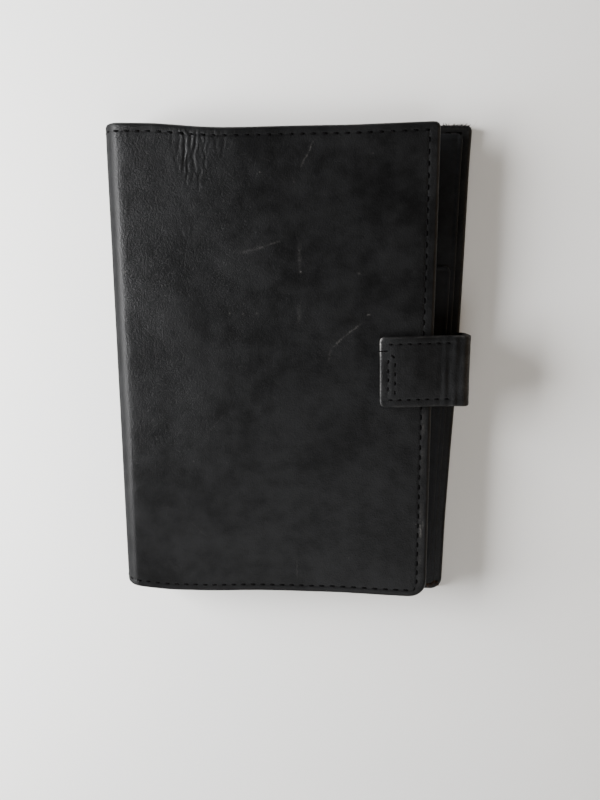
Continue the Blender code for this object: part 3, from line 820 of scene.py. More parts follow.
def greyboard(name, unrolled=True):
    """Recycled board with short pale fibres."""
    look = Look(name, 0.9, specular=0.2)
    place = look.places(unrolled)
    stretched = look.mapped(place, "Scale", (0.5, 2.4, 1.0))
    fibre = look.noise(stretched, 1.4, 5.0, 0.7)
    cloud = look.noise(place, 0.12, 3.0)
    tone = look.spread(look.math("MULTIPLY_ADD", cloud, 0.5, fibre), 0.45, 1.1)
    colour = look.blend(tone, (0.10, 0.085, 0.065), (0.22, 0.19, 0.145))
    return look.finish(colour, look.spread(fibre, 0.3, 0.7, 0.84, 0.95), look.bump(fibre, 0.05))


def waxed_thread(name):
    """Waxed black thread with its twist."""
    look = Look(name, 0.8, specular=0.03)
    place = look.places()
    twisted = look.mapped(place, "Rotation", (0.0, 0.0, math.radians(38)))
    strands = look.node("TexWave", {"Vector": twisted, "Scale": 0.75, "Distortion": 0.3}).outputs["Fac"]
    fuzz = look.noise(place, 7.0, 3.0)
    tone = look.math("MULTIPLY_ADD", fuzz, 0.35, look.math("MULTIPLY", strands, 0.65))
    colour = look.blend(tone, (0.0006, 0.0006, 0.0006), (0.0030, 0.0028, 0.0030))
    return look.finish(colour, look.spread(fuzz, 0.3, 0.7, 0.65, 0.85), look.bump(strands, 0.06))


def fibre_look(name, dark, light):
    """Torn leather fibre."""
    look = Look(name, 0.85, specular=0.2)
    place = look.places(False)
    mottle = look.noise(place, 1.2, 4.0, 0.7)
    colour = look.blend(look.spread(mottle, 0.3, 0.7), dark, light)
    return look.finish(colour, look.spread(mottle, 0.3, 0.7, 0.75, 0.95), look.bump(mottle, 0.04))


def metal(name, dark, light, roughness):
    """Plated metal, slightly brushed and tarnished."""
    look = Look(name, roughness, metallic=1.0)
    place = look.places(False)
    squashed = look.mapped(place, "Scale", (1.0, 1.0, 8.0))
    brushed = look.noise(squashed, 3.0, 4.0, 0.6)
    tarnish = look.spread(look.noise(place, 0.5, 4.0, 0.6), 0.35, 0.7)
    colour = look.blend(tarnish, light, dark)
    polish = look.spread(brushed, 0.3, 0.7, roughness - 0.06, roughness + 0.08)
    rough = look.math("MULTIPLY_ADD", tarnish, 0.2, polish)
    return look.finish(colour, rough, look.bump(brushed, 0.01))


def on_front(x0, y0, x1, y1, width, strength):
    """Return a stroke on the flat of the front cover, from places measured from the spine."""
    return (x0 + UNROLLED, y0), (x1 + UNROLLED, y1), width, strength


# Scratches and nicks: from (x, y) to (x, y), with a width and a strength.
FRONT_MARKS = (
    (64.5, 70.5, 60.3, 62.5, 0.34, 0.75), (57.6, 61.0, 59.0, 57.4, 0.3, 0.4),
    (41.7, 37.5, 46.0, 38.3, 0.9, 0.4), (45.5, 38.2, 50.5, 39.9, 0.8, 0.42),
    (50.0, 39.7, 54.6, 41.2, 0.6, 0.45), (60.2, 41.0, 60.3, 32.0, 0.8, 0.34),
    (60.2, 22.5, 60.1, 14.3, 1.0, 0.26), (79.4, 16.5, 74.0, 12.2, 0.5, 0.6),
    (74.5, 12.6, 70.2, 8.6, 0.5, 0.6), (70.2, 8.6, 69.3, 4.5, 0.6, 0.42),
    (60.2, 32.2, 60.7, 31.6, 0.55, 0.9), (77.6, 31.3, 78.6, 31.5, 0.5, 0.8),
    (80.6, 18.8, 81.6, 19.2, 0.5, 0.9), (38.2, 19.3, 38.8, 19.1, 0.5, 0.8),
    (42.3, 19.0, 42.9, 18.9, 0.5, 0.7), (46.8, 19.3, 47.4, 19.1, 0.5, 0.7),
    (96.0, 12.2, 96.6, 11.9, 0.45, 0.8), (98.5, -48.0, 98.8, -53.4, 0.75, 1.3),
    (99.2, -46.5, 99.6, -50.5, 0.4, 0.8), (59.9, -62.7, 59.9, -69.9, 0.3, 0.45),
    (30.0, -20.0, 37.0, -12.5, 0.3, 0.3), (24.0, -50.0, 29.5, -55.0, 0.3, 0.3),
)
FRONT_STROKES = [on_front(*mark) for mark in FRONT_MARKS]
FRONT_STROKES += [((8.0, 31.6), (10.4, 31.8), 0.3, 0.9), ((5.5, -12.0), (6.0, -18.0), 0.4, 0.4)]
BACK_STROKES = [
    ((-60.0, 20.0), (-52.0, 31.0), 0.35, 0.5), ((-80.0, -35.0), (-71.0, -30.5), 0.35, 0.45),
    ((-35.0, -52.0), (-31.0, -43.0), 0.3, 0.4), ((-95.0, 45.0), (-88.0, 41.5), 0.4, 0.5),
]

FRONT_LEATHER = leather("front leather", FRONT_STROKES)
BACK_LEATHER = leather("back leather", BACK_STROKES)
PANEL_LEATHER = leather("panel leather", base=(0.0048, 0.0054, 0.0064), roughness=0.46, specular=0.95)
SLOT_LEATHER = leather("slot leather", base=(0.0056, 0.0058, 0.0064), roughness=0.46)
# The tab's pale worn colour also paints the highlight along the flap's free end.
TAB_LEATHER = leather("tab leather", worn=(0.22, 0.215, 0.205), roughness=0.40)
TAB_INNER_LEATHER = leather("tab lining leather", base=(0.0095, 0.0088, 0.0085), roughness=0.55)
LINING_CLOTH = twill("lining cloth")
BOARD = greyboard("board")
STAY_BOARD = greyboard("stay board", unrolled=False)
THREAD = waxed_thread("black thread")
NICKEL = metal("nickel", (0.32, 0.30, 0.27), (0.60, 0.585, 0.55), 0.26)
BRASS = metal("brass", (0.36, 0.24, 0.10), (0.68, 0.50, 0.24), 0.3)


# ---------------------------------------------------------------- the camera, the floor and the light

def add_camera():
    """Stand the camera above the cover."""
    data = bpy.data.cameras.new("camera")
    data.lens = 27.0
    data.sensor_width = 36.0
    data.clip_start = 0.01
    data.clip_end = 20.0
    camera = bpy.data.objects.new("camera", data)
    camera.location = (0.016825, 0.02771, 0.20016)
    camera.rotation_euler = (math.radians(-10.762), math.radians(3.947), math.radians(0.283))
    bpy.context.scene.collection.objects.link(camera)
    bpy.context.scene.camera = camera


# The floor's flat part, its sweep's radius and its wall's height, and its gap below, in metres.
FLOOR_REACH, FLOOR_SWEEP, WALL_TOP = 1.1, 0.6, 1.5
FLOOR_GAP = 0.0004


def add_floor():
    """Lay a plain pale floor that sweeps up far around the organizer."""
    profile = [(0.0, 0.0), (0.3, 0.0), (0.7, 0.0), (FLOOR_REACH, 0.0)]
    for step in range(1, 13):
        angle = step / 12 * math.pi / 2
        out, up = FLOOR_SWEEP * math.sin(angle), FLOOR_SWEEP - FLOOR_SWEEP * math.cos(angle)
        profile.append((FLOOR_REACH + out, up))
    profile.append((FLOOR_REACH + FLOOR_SWEEP, WALL_TOP))
    steps = 48
    points, faces = [], []
    for radius, height in profile:
        for turn in range(steps):
            angle = 2 * math.pi * turn / steps
            points.append((radius * math.cos(angle), radius * math.sin(angle), height))
    for ring in range(len(profile) - 1):
        for turn in range(steps):
            after = (turn + 1) % steps
            low, high = ring * steps, (ring + 1) * steps
            faces.append((low + turn, low + after, high + after, high + turn))
    mesh = bpy.data.meshes.new("floor")
    mesh.from_pydata(points, [], faces)
    mesh.shade_smooth()
    floor = bpy.data.objects.new("floor", mesh)
    floor.location.z = BACK_LOW[2] * MM - FLOOR_GAP
    bpy.context.scene.collection.objects.link(floor)
    look = Look("floor", 0.75, specular=0.2)
    place = look.places(False)
    cloud = look.noise(place, 0.01, 3.0)
    tint = look.blend(look.spread(cloud, 0.3, 0.7), (0.80, 0.80, 0.785), (0.82, 0.815, 0.79))
    mesh.materials.append(look.finish(tint, look.spread(cloud, 0.3, 0.7, 0.7, 0.8)))


def add_light(name, place, target, size, energy, colour):
    """Add a soft square light that faces a place."""
    data = bpy.data.lights.new(name, "AREA")
    data.shape = "RECTANGLE"
    data.size, data.size_y = size
    data.energy = energy
    data.color = colour
    light = bpy.data.objects.new(name, data)
    light.location = place
    heading = np.array(target) - np.array(place)
    light.rotation_euler = Vector(heading).to_track_quat("-Z", "Y").to_euler()
    bpy.context.scene.collection.objects.link(light)


def add_lights():
    """Light the set softly from the left, with a warm dim room around it."""
    world = bpy.data.worlds.new("room")
    world.use_nodes = True
    background = world.node_tree.nodes["Background"]
    background.inputs["Color"].default_value = (1.0, 0.95, 0.88, 1.0)
    background.inputs["Strength"].default_value = 0.13
    bpy.context.scene.world = world
    add_light("window", (-0.45, 0.05, 0.185), (0.0, 0.0, 0.0), (0.38, 0.23), 14.5, (0.99, 0.99, 1.0))
    add_light("ceiling", (0.04, -0.56, 0.70), (-0.06, -0.10, 0.0), (0.6, 0.45), 3.2, (0.98, 0.99, 1.0))
    add_light("bounce", (0.50, 0.05, 0.20), (0.05, 0.0, 0.0), (0.5, 0.3), 0.45, (1.0, 0.54, 0.14))


add_camera()
add_floor()
add_lights()


# ---------------------------------------------------------------- covers, boards and linings

FRONT_FOLD = (("spine", "front_cover"), (0.6, 7.6), (5.2, 12.4))
BACK_FOLD = (("spine", "back_cover"), (0.6, THICKNESS - 7.6), (5.2, THICKNESS - 12.4))


def bend_between(obj):
    """Bake a piece's placement into its mesh."""
    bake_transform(obj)


def seam_path(cover, inset, start):
    """Return the line of a cover's seam around its three free edges."""
    right, top = cover.length - inset - SEAM_EXTRA, cover.half - inset
    return [(start, top), (right, top), (right, -top), (start, -top)]


def on_outer(relief):
    """Return the level of the thread on the outer face."""
    return lambda u, v: (-float(relief(u, v)) - 0.04, 1.0)


def on_hem(u, v):
    """Return the level of the thread on the hem."""
    return HEM_TOP + 0.02, -1.0


def build_covers():
    """Build both covers' leather, boards, linings and seams."""
    front = skin(
        "front_skin", FRONT, front_relief, FRONT_LEATHER,
        ((3.0, 10.0, 0.9), (25.0, 43.0, 0.33)), ((55.0, 72.5, 0.6),),
    )
    back = skin("back_skin", BACK, BACK.relief, BACK_LEATHER, ((3.0, 10.0, 0.9),), ())
    for obj, fold, nodes in (
        (front, FRONT_FOLD, ("front_cover_leather", "spine_leather")),
        (back, BACK_FOLD, ("back_cover_leather",)),
    ):
        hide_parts(*nodes)
        bend_between(obj)
    for side, cover, relief, fold, lined in (
        ("front", FRONT, front_relief, FRONT_FOLD, ("front_cover_lining", "spine_lining")),
        ("back", BACK, BACK.relief, BACK_FOLD, ("back_cover_lining",)),
    ):
        sew_cover(side, cover, relief)
        board = build_board(side, cover)
        build_lining(side, cover, lined)


def sew_cover(side, cover, relief):
    """Sew a cover's hem, with stitches seen outside and inside."""
    path = seam_path(cover, SEAM_INSET, 0.4)
    seam = stitches(side + "_seam", THREAD, cover.place, on_outer(relief), [path])
    inner = stitches(side + "_seam_inside", THREAD, cover.place, on_hem, [path])
    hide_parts(side + "_cover_thread")
    for obj in (seam, inner):
        bend_between(obj)


def build_board(side, cover):
    """Build a cover's stiffener."""
    far = cover.length
    us = lines(PANEL_START, far - BOARD_INSET, 4.0, zones=((far - 12, far, 1.0),))
    vs = lines(BOARD_INSET - cover.half, cover.half - BOARD_INSET, 4.0)
    near_face, far_face = level(BOARD_NEAR), level(BOARD_FAR)
    board = slab(side + "_board", BOARD, cover.place, cover.rest, us, vs, near_face, far_face)
    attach(board, side + "_cover")
    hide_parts(side + "_cover_stiffener")
    return board


def build_lining(side, cover, nodes):
    """Lay a cover's lining, which runs on to the middle of the spine."""
    us = lines(0.0, cover.length - LINING_INSET, 2.0, zones=((0.0, 12.0, 0.7),))
    vs = lines(LINING_INSET - cover.half, cover.half - LINING_INSET, 3.0)
    cloth = slab(
        side + "_lining_cloth", LINING_CLOTH, cover.place, cover.rest, us, vs,
        level(LINING_NEAR), level(LINING_FAR), cut=("start",),
    )
    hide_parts(*nodes)
    bend_between(cloth)


build_covers()


# ---------------------------------------------------------------- pockets

def rounded(place, u_high, v_low, v_high, radius):
    """Round a panel's two free corners."""
    def moved(u, v, depth):
        u, v, depth = np.broadcast_arrays(u, v, depth)
        middle = (v_low + v_high) / 2
        edge = np.where(v > middle, v_high, v_low)
        along = radius - np.abs(edge - v)
        across = u - (u_high - radius)
        inside, scale = round_corner(across, along)
        new_u = np.where(inside, u_high - radius + across * scale, u)
        new_v = np.where(inside, edge - np.sign(edge - middle) * (radius - along * scale), v)
        return place(new_u, new_v, depth)
    return moved


def edge_crease(u, v, edges):
    """Return a pressed line and a slightly thicker edge near some edges of a panel."""
    out = np.zeros(np.broadcast(u, v).shape)
    for axis, edge in edges:
        away = np.abs((u if axis == "u" else v) - edge)
        out = out - 0.10 * bump(away, 1.5, 0.35) + 0.06 * bump(away, 0.7, 0.5)
    return out


def panel(name, node, cover, material, u_range, v_range, depths, edges, bulge=0.0, mouth=None):
    """Build a pocket panel on a cover. depths are its seen face and its hidden one."""
    u_low, u_high = u_range
    v_low, v_high = v_range
    seen, hidden = depths
    us = lines(u_low, u_high, 1.6, [u_high - 1.5, u_low + 1.5], ((u_high - 3.2, u_high, 0.4),))
    vs = lines(
        v_low, v_high, 1.6, [v_high - 1.5, v_low + 1.5],
        ((v_high - 2.6, v_high, 0.4), (v_low, v_low + 2.6, 0.4)),
    )
    side = 1.0 if seen > hidden else -1.0
    base = rounded(cover.place, u_high, v_low, v_high, PANEL_CORNER)

    def place(u, v, depth):
        return base(u, mouth(u, v) if mouth else v, depth)

    def face(depth, amount):
        """Return a face that swells in its middle, with its pressed lines raised by an amount."""
        def found(u, v):
            crown = np.sin(math.pi * np.clip((u - u_low) / (u_high - u_low), 0, 1))
            crown = crown * np.sin(math.pi * np.clip((v - v_low) / (v_high - v_low), 0, 1))
            swell = bulge * crown + 0.03 * waves(u, v, 22.0, 31) * crown
            return depth + side * (swell + amount * edge_crease(u, v, edges))
        return found

    def worn(u, v):
        near = np.minimum(np.minimum(u_high - u, u - u_low), np.minimum(v_high - v, v - v_low))
        return np.clip(0.2 * bump(near, 0.0, 0.5) * (0.6 + 0.5 * waves(u, v, 12.0, 33)), 0.0, 1.0)

    near, far = face(seen, 1.0), face(hidden, 0.0)
    if side > 0:
        near, far = far, near
    obj = slab(
        name, material, place, cover.rest, us, vs, near, far,
        wear=worn, roll=abs(seen - hidden) / 2,
    )
    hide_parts(node)
    return obj


def build_back_pockets():
    """Build the ticket pocket and the passport pocket."""
    low, high = mm_box("ticket_pocket_panel")
    right, top = BACK.length - POCKET_INSET, BACK.half - POCKET_INSET
    ticket = panel(
        "ticket_pocket", "ticket_pocket_panel", BACK, PANEL_LEATHER,
        (PANEL_START, right), (-top, top), (high[2], low[2]), (("u", right), ("v", top)), bulge=0.1,
    )
    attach(ticket, "back_cover")
    low, high = mm_box("passport_pocket_panel")
    right, top, bottom = BACK.length - PASSPORT_INSET, high[1], low[1]
    middle = PANEL_START + (right - PANEL_START) / 2
    notch_centre = top + NOTCH_RISE

    def mouth(u, v):
        """Dip the pocket's mouth into a round thumb notch."""
        across = np.clip(np.abs(u - middle) / NOTCH_RADIUS, 0.0, 1.0)
        dip = np.maximum(top - (notch_centre - NOTCH_RADIUS * np.sqrt(1 - across ** 2)), 0.0)
        dip = np.where(np.abs(u - middle) < NOTCH_RADIUS, dip, 0.0)
        return v - dip * ramp(v, top - 30.0, top - 2.0)

    passport = panel(
        "passport_pocket", "passport_pocket_panel", BACK, PANEL_LEATHER,
        (PANEL_START, right), (bottom, top), (high[2], low[2]), (("u", right), ("v", top)),
        bulge=0.12, mouth=mouth,
    )
    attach(passport, "back_cover")


def build_front_pockets():
    """Build the slip pocket and the card slots inside the front cover."""
    low, high = mm_box("slip_pocket_panel")
    right, top = FRONT.length - POCKET_INSET, FRONT.half - POCKET_INSET
    slip = panel(
        "slip_pocket", "slip_pocket_panel", FRONT, PANEL_LEATHER, (PANEL_START, right), (-top, top),
        (THICKNESS - low[2], THICKNESS - high[2]), (("u", right), ("v", top)),
    )
    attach(slip, "front_cover")
    for number in range(1, 5):
        node = "card_slot_%d" % number
        low, high = mm_box(node)
        build_slot(node, low, high)


def build_slot(node, low, high):
    """Build one card slot, which leans out over the one below it."""
    thick = 0.4
    rise = (high[2] - low[2] - thick) / (high[1] - low[1])
    left, right = low[0] - SPINE_X + UNROLLED, high[0] - SPINE_X + UNROLLED
    us = lines(left, right, 2.0, [left + 1.5, right - 1.5])
    vs = lines(low[1], high[1], 1.5, [high[1] - 1.5], ((high[1] - 2.6, high[1], 0.35),))
    deep = THICKNESS - high[2]

    def seen(u, v):
        """Return the depth of the slot's outer face."""
        crease = edge_crease(u, v, (("v", high[1]),))
        return deep + thick + rise * (v - low[1]) + crease

    def hidden(u, v):
        """Return the depth of the slot's inner face."""
        return deep + rise * (v - low[1])

    def worn(u, v):
        patchy = 0.6 + 0.5 * waves(u, v, 12.0, 35)
        return np.clip(0.6 * bump(high[1] - v, 0.0, 0.5) * patchy, 0.0, 1.0)

    obj = slab(
        node.replace("slot", "pocket"), SLOT_LEATHER, FRONT.place, FRONT.rest, us, vs,
        hidden, seen, wear=worn, roll=thick / 2,
    )
    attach(obj, "front_cover")
    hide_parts(node)
    columns = [
        [(column, low[1] + 1.0), (column, high[1] - 3.0)] for column in (left + 1.3, right - 1.3)
    ]
    sewn = stitches(
        node.replace("slot", "seam"), THREAD, FRONT.place,
        lambda u, v: (float(seen(u, v)) + 0.03, -1.0), columns, pitch=3.0, length=2.3, radius=0.18,
    )
    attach(sewn, "front_cover")


build_back_pockets()
build_front_pockets()


# ---------------------------------------------------------------- the tab

TAB_BEND = 1.5
TAB_MID_X = RISER_HIGH[0] - 0.95
TAB_MID_Z = FLAP_HIGH[2] - 0.95
ANCHOR_Z = (ANCHOR_LOW[2] + ANCHOR_HIGH[2]) / 2
ANCHOR_RUN = TAB_MID_X - TAB_BEND - ANCHOR_LOW[0]
TAB_ARC = TAB_BEND * math.pi / 2
RISER_RUN = TAB_MID_Z - ANCHOR_Z - 2 * TAB_BEND
FLAP_RUN = TAB_MID_X - TAB_BEND - FLAP_LOW[0]
RISER_START = ANCHOR_RUN + TAB_ARC
FLAP_BEND_START = RISER_START + RISER_RUN
FLAP_START = FLAP_BEND_START + TAB_ARC
TAB_LENGTH = FLAP_START + FLAP_RUN
TAB_SPLIT = RISER_START + RISER_RUN / 2
TAB_LOW_V, TAB_HIGH_V = FLAP_LOW[1], FLAP_HIGH[1]
TAB_MID_V = (TAB_LOW_V + TAB_HIGH_V) / 2
SNAP_X, SNAP_Y = (STUD_LOW[0] + STUD_HIGH[0]) / 2, (STUD_LOW[1] + STUD_HIGH[1]) / 2
SNAP_T = FLAP_START + (TAB_MID_X - TAB_BEND - SNAP_X)
SOCKET_HOLE = 4.6
TAB_CORNER = 1.5
TAB_SEAM_INSET = 2.3

# The seam's two columns, from the spine, with where each one's groove starts and is full.
TAB_COLUMNS = ((87.9, -6.8, -5.4), (90.0, -6.4, -5.0))

# Distances in from the flap's free end and from the tab's sides that need their own grid lines.
TAB_END_INSETS = (0.55, 0.8, 1.2, 2.0, 2.3, 2.6)
TAB_SIDE_INSETS = (1.0, 1.6, 2.0, 2.3, 2.6, 3.2)


def tab_x(t):
    """Return the place across the flap for a length along the tab."""
    return TAB_MID_X - TAB_BEND - (t - FLAP_START)


def tab_place(t, v, out):
    """Return the point this far along the tab, this high on it and this far out of its middle."""
    t, v, out = np.broadcast_arrays(t, v, out)
    across = t - (TAB_LENGTH - TAB_CORNER)
    along = np.abs(v - TAB_MID_V) - ((TAB_HIGH_V - TAB_LOW_V) / 2 - TAB_CORNER)
    inside, scale = round_corner(across, along)
    v = np.where(inside, v - np.sign(v - TAB_MID_V) * along * (1 - scale), v)
    t = np.where(inside, TAB_LENGTH - TAB_CORNER + across * scale, t)
    lower = np.clip((t - ANCHOR_RUN) / TAB_BEND, 0.0, math.pi / 2)
    upper = np.clip((t - FLAP_BEND_START) / TAB_BEND, 0.0, math.pi / 2)
    turn = lower + upper
    riser = np.clip(t - RISER_START, 0.0, RISER_RUN)
    flap = np.maximum(t - FLAP_START, 0.0)
    x = ANCHOR_LOW[0] + np.minimum(t, ANCHOR_RUN) + TAB_BEND * np.sin(lower)
    z = ANCHOR_Z + TAB_BEND * (1 - np.cos(lower)) + riser
    x = x - TAB_BEND * (1 - np.cos(upper)) - flap
    z = z + TAB_BEND * np.sin(upper)
    sag = 0.55 * ramp(flap, FLAP_RUN - 4.5, FLAP_RUN + 1.0) + 0.25 * bump(flap, 7.0, 4.0)
    z = z - sag
    x = x + out * np.sin(turn)
    z = z - out * np.cos(turn)
    lean = 0.42 - 0.84 * ramp(t, FLAP_START - 2.0, TAB_LENGTH + 2.0)
    lean = lean * ramp(t, ANCHOR_RUN - 6.0, RISER_START)
    skew = -0.32 * (v - TAB_MID_V) / 11.0 * ramp(t, FLAP_START, TAB_LENGTH)
    pulled = 0.4 * ramp(-v, -3.0, 9.0) * ramp(t, RISER_START, FLAP_START)
    skew = skew + pulled * (1 - ramp(flap, 0.0, 12.0))
    return pack(x + skew, v + lean, z)


def tab_rest(t, v, out):
    """Return the unrolled place on the tab."""
    return pack(t, np.asarray(v) + 300.0, out)


def round_hole(place):
    """Make the square gap around the socket round."""
    def moved(t, v, out):
        t, v, out = np.broadcast_arrays(t, v, out)
        dt, dv = t - SNAP_T, v - SNAP_Y
        square = np.maximum(np.abs(dt), np.abs(dv))
        round_share = square / np.maximum(np.hypot(dt, dv), 1e-6)
        share = 1 - ramp(square, SOCKET_HOLE, 7.4)
        scale = np.where(square > 1e-6, 1 + share * (round_share - 1), 1.0)
        return place(SNAP_T + dt * scale, SNAP_Y + dv * scale, out)
    return moved


# Soft folds across the flap: a place from the spine, a height and a width.
TAB_FOLDS = (
    (102.9, 0.06, 0.45), (104.2, -0.13, 0.4), (105.3, 0.16, 0.36), (106.7, -0.18, 0.42),
    (108.1, 0.18, 0.36), (109.3, -0.13, 0.4), (110.4, 0.07, 0.35), (91.9, -0.05, 0.35),
    (92.6, 0.05, 0.3),
)


def tab_relief(t, v):
    """Return the relief of the tab's outer face."""
    inset = tab_inset(t, v)
    sides = np.minimum(v - TAB_LOW_V, TAB_HIGH_V - v)
    out = -0.14 * bump(sides, TAB_SEAM_INSET, 0.34) * ramp(t, FLAP_START + 2.0, FLAP_START + 3.5)
    out = out + 0.06 * bump(inset, 1.0, 0.5) + 0.06 * ramp(inset, 2.6, 5.0)
    x = tab_x(t) - SPINE_X
    for column, start, full in TAB_COLUMNS:
        out = out - 0.12 * bump(x, column, 0.34) * ramp(v, start, full) * ramp(-v, -7.0, -5.0)
    out = out + 0.10 * bump(np.hypot(t - SNAP_T, v - SNAP_Y), 0.0, 5.5)
    for fold, height, width in TAB_FOLDS:
        line = x + 0.35 * waves(t * 0.0, v, 12.0, int(fold))
        strength = 0.7 + 0.4 * waves(v, v * 0.0, 9.0, int(fold) + 1)
        out = out + height * bump(line, fold, width) * strength
    return out + 0.03 * waves(t, v, 8.0, 41)


def tab_inset(t, v):
    """Return the distance in from the tab's long edges and free end."""
    return np.minimum(np.minimum(v - TAB_LOW_V, TAB_HIGH_V - v), TAB_LENGTH - t)


def skive(t):
    """Return the share of its thickness that the strap keeps, thin where it is sewn in."""
    return 0.22 + 0.78 * ramp(t, ANCHOR_RUN - 0.5, RISER_START + 1.0)


def outer_top(t, v):
    """Return how far out the outer ply's seen face is."""
    return (0.95 + tab_relief(t, v) - 0.12) * skive(t)


def outer_under(t, v):
    """Return how far out the outer ply's hidden face is, with room for the snap's cap."""
    recess = 0.36 * (1 - ramp(np.hypot(t - SNAP_T, v - SNAP_Y), 4.7, 5.2))
    return 0.03 + recess


def inner_top(t, v):
    """Return how far out the lining ply's hidden face is."""
    return np.full(np.broadcast(t, v).shape, -0.03)


def inner_under(t, v):
    """Return how far out the lining ply's seen face is."""
    return -0.03 - 0.6 * skive(t) * np.ones(np.broadcast(t, v).shape)


def tab_wear(t, v):
    """Return the wear of the tab: a painted highlight along its free end, pale scuffing at that end's top
    corner, rubbing along its sides and folds.
    """
    end = TAB_LENGTH - t
    patchy = 0.7 + 0.35 * waves(v, t, 6.0, 51)
    # Painted highlight along the free end's edge, growing into real pale scuffing towards its top corner.
    out = bump(end, 0.0, 0.28) * patchy * (0.22 + 0.78 * ramp(v, 4.0, TAB_HIGH_V - 1.0))
    inset = tab_inset(t, v)
    out = out + 0.16 * bump(inset, 0.25, 0.3) * (0.6 + 0.5 * waves(t, v, 7.0, 52))
    out = out + 0.18 * bump(t, FLAP_START - 1.2, 1.4) * patchy
    return np.clip(out, 0.0, 1.0)


def build_tab():
    """Build the two plies of the tab, each in two pieces that meet halfway up the riser."""
    parts = (
        (
            "lower", 0.0, TAB_SPLIT, ("end",), [],
            (("back_cover", "tab_riser"), (110.6, 2.6), (112.2, 4.6)),
        ),
        (
            "upper", TAB_SPLIT, TAB_LENGTH, ("start",),
            [*(TAB_LENGTH - inset for inset in TAB_END_INSETS), SNAP_T - SOCKET_HOLE, SNAP_T + SOCKET_HOLE],
            (("tab_riser", "tab_flap"), (112.2, 12.2), (109.6, 14.8)),
        ),
    )
    plies = (
        ("tab_outer", TAB_LEATHER, outer_under, outer_top, None, 0.4),
        ("tab_inner", TAB_INNER_LEATHER, inner_under, inner_top, SOCKET_HOLE, 0.28),
    )
    replaced = {
        ("tab_outer", "lower"): ("tab_riser_leather",),
        ("tab_outer", "upper"): ("tab_flap_leather",),
        ("tab_inner", "lower"): ("tab_riser_lining", "tab_anchor"),
        ("tab_inner", "upper"): ("tab_flap_lining",),
    }
    exact_v = [TAB_LOW_V + inset for inset in TAB_SIDE_INSETS]
    exact_v += [TAB_HIGH_V - inset for inset in TAB_SIDE_INSETS]
    exact_v += [SNAP_Y - SOCKET_HOLE, SNAP_Y + SOCKET_HOLE]
    vs = lines(TAB_LOW_V, TAB_HIGH_V, 0.6, exact_v)
    for half, start, end, cut, exact_t, fold in parts:
        ts = lines(start, end, 0.55, exact_t)
        for ply, material, under, top, hole, roll in plies:
            holed = hole is not None and half == "upper"
            obj = slab(
                ply + "_" + half, material, round_hole(tab_place) if holed else tab_place, tab_rest,
                ts, vs, top, under, cut=cut, wear=tab_wear,
                hole=(SNAP_T, SNAP_Y, hole) if holed else None, roll=roll,
            )
            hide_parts(*replaced[ply, half])
            bend_between(obj)
    build_tab_seam()


def build_tab_seam():
    """Sew the flap: a row along each side, and two columns near its free end."""
    def at(x, v):
        """Return the place on the tab for one measured from the spine."""
        return (FLAP_START + (TAB_MID_X - TAB_BEND - (SPINE_X + x)), v)

    top, bottom = TAB_HIGH_V - TAB_SEAM_INSET, TAB_LOW_V + TAB_SEAM_INSET
    arch = [(90.0, 5.2), (89.75, 6.5), (89.0, 7.1), (88.2, 6.6), (87.9, 5.2)]
    paths = (
        [at(87.2, top), at(108.2, top)],
        [at(87.2, bottom), at(108.2, bottom)],
        [at(90.0, -5.8)] + [at(*point) for point in arch] + [at(87.9, -6.0)],
    )
    sewn = stitches(
        "tab_seam", THREAD, tab_place,
        lambda t, v: (float(outer_top(t, v)) + 0.05, -1.0), paths,
        pitch=2.85, length=1.9, radius=0.3,
    )
    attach(sewn, "tab_flap")
    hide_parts("tab_thread")
    tick = stitches(
        "tab_tick", THREAD, tab_place, lambda t, v: (0.93, -1.0), ([at(88.0, 8.6), at(84.9, 8.3)],),
        pitch=2.9, length=2.9, radius=0.2,
    )
    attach(tick, "tab_flap")


build_tab()


# ---------------------------------------------------------------- the snap

def turned(name, node, body, profile, slot):
    """Turn a profile of (radius, height above the node's foot) about the snap's axis."""
    shape = Shape()
    steps = 72
    around = np.arange(steps) * 2 * math.pi / steps
    profile = np.array(profile, float)
    rings = pack(
        SNAP_X + profile[:, :1] * np.cos(around), SNAP_Y + profile[:, :1] * np.sin(around),
        np.broadcast_to(profile[:, 1:], (len(profile), steps)),
    )
    grid = shape.add(rings, np.array((0.0, 0.0, 0.0)))
    shape.tube(grid, capped=False)
    obj = shape.build(name, NICKEL, sharp=38.0)
    merge = bmesh.new()
    merge.from_mesh(obj.data)
    bmesh.ops.remove_doubles(merge, verts=merge.verts, dist=0.002 * MM)
    bmesh.ops.recalc_face_normals(merge, faces=merge.faces)
    merge.to_mesh(obj.data)
    merge.free()
    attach(obj, body)
    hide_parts(node)


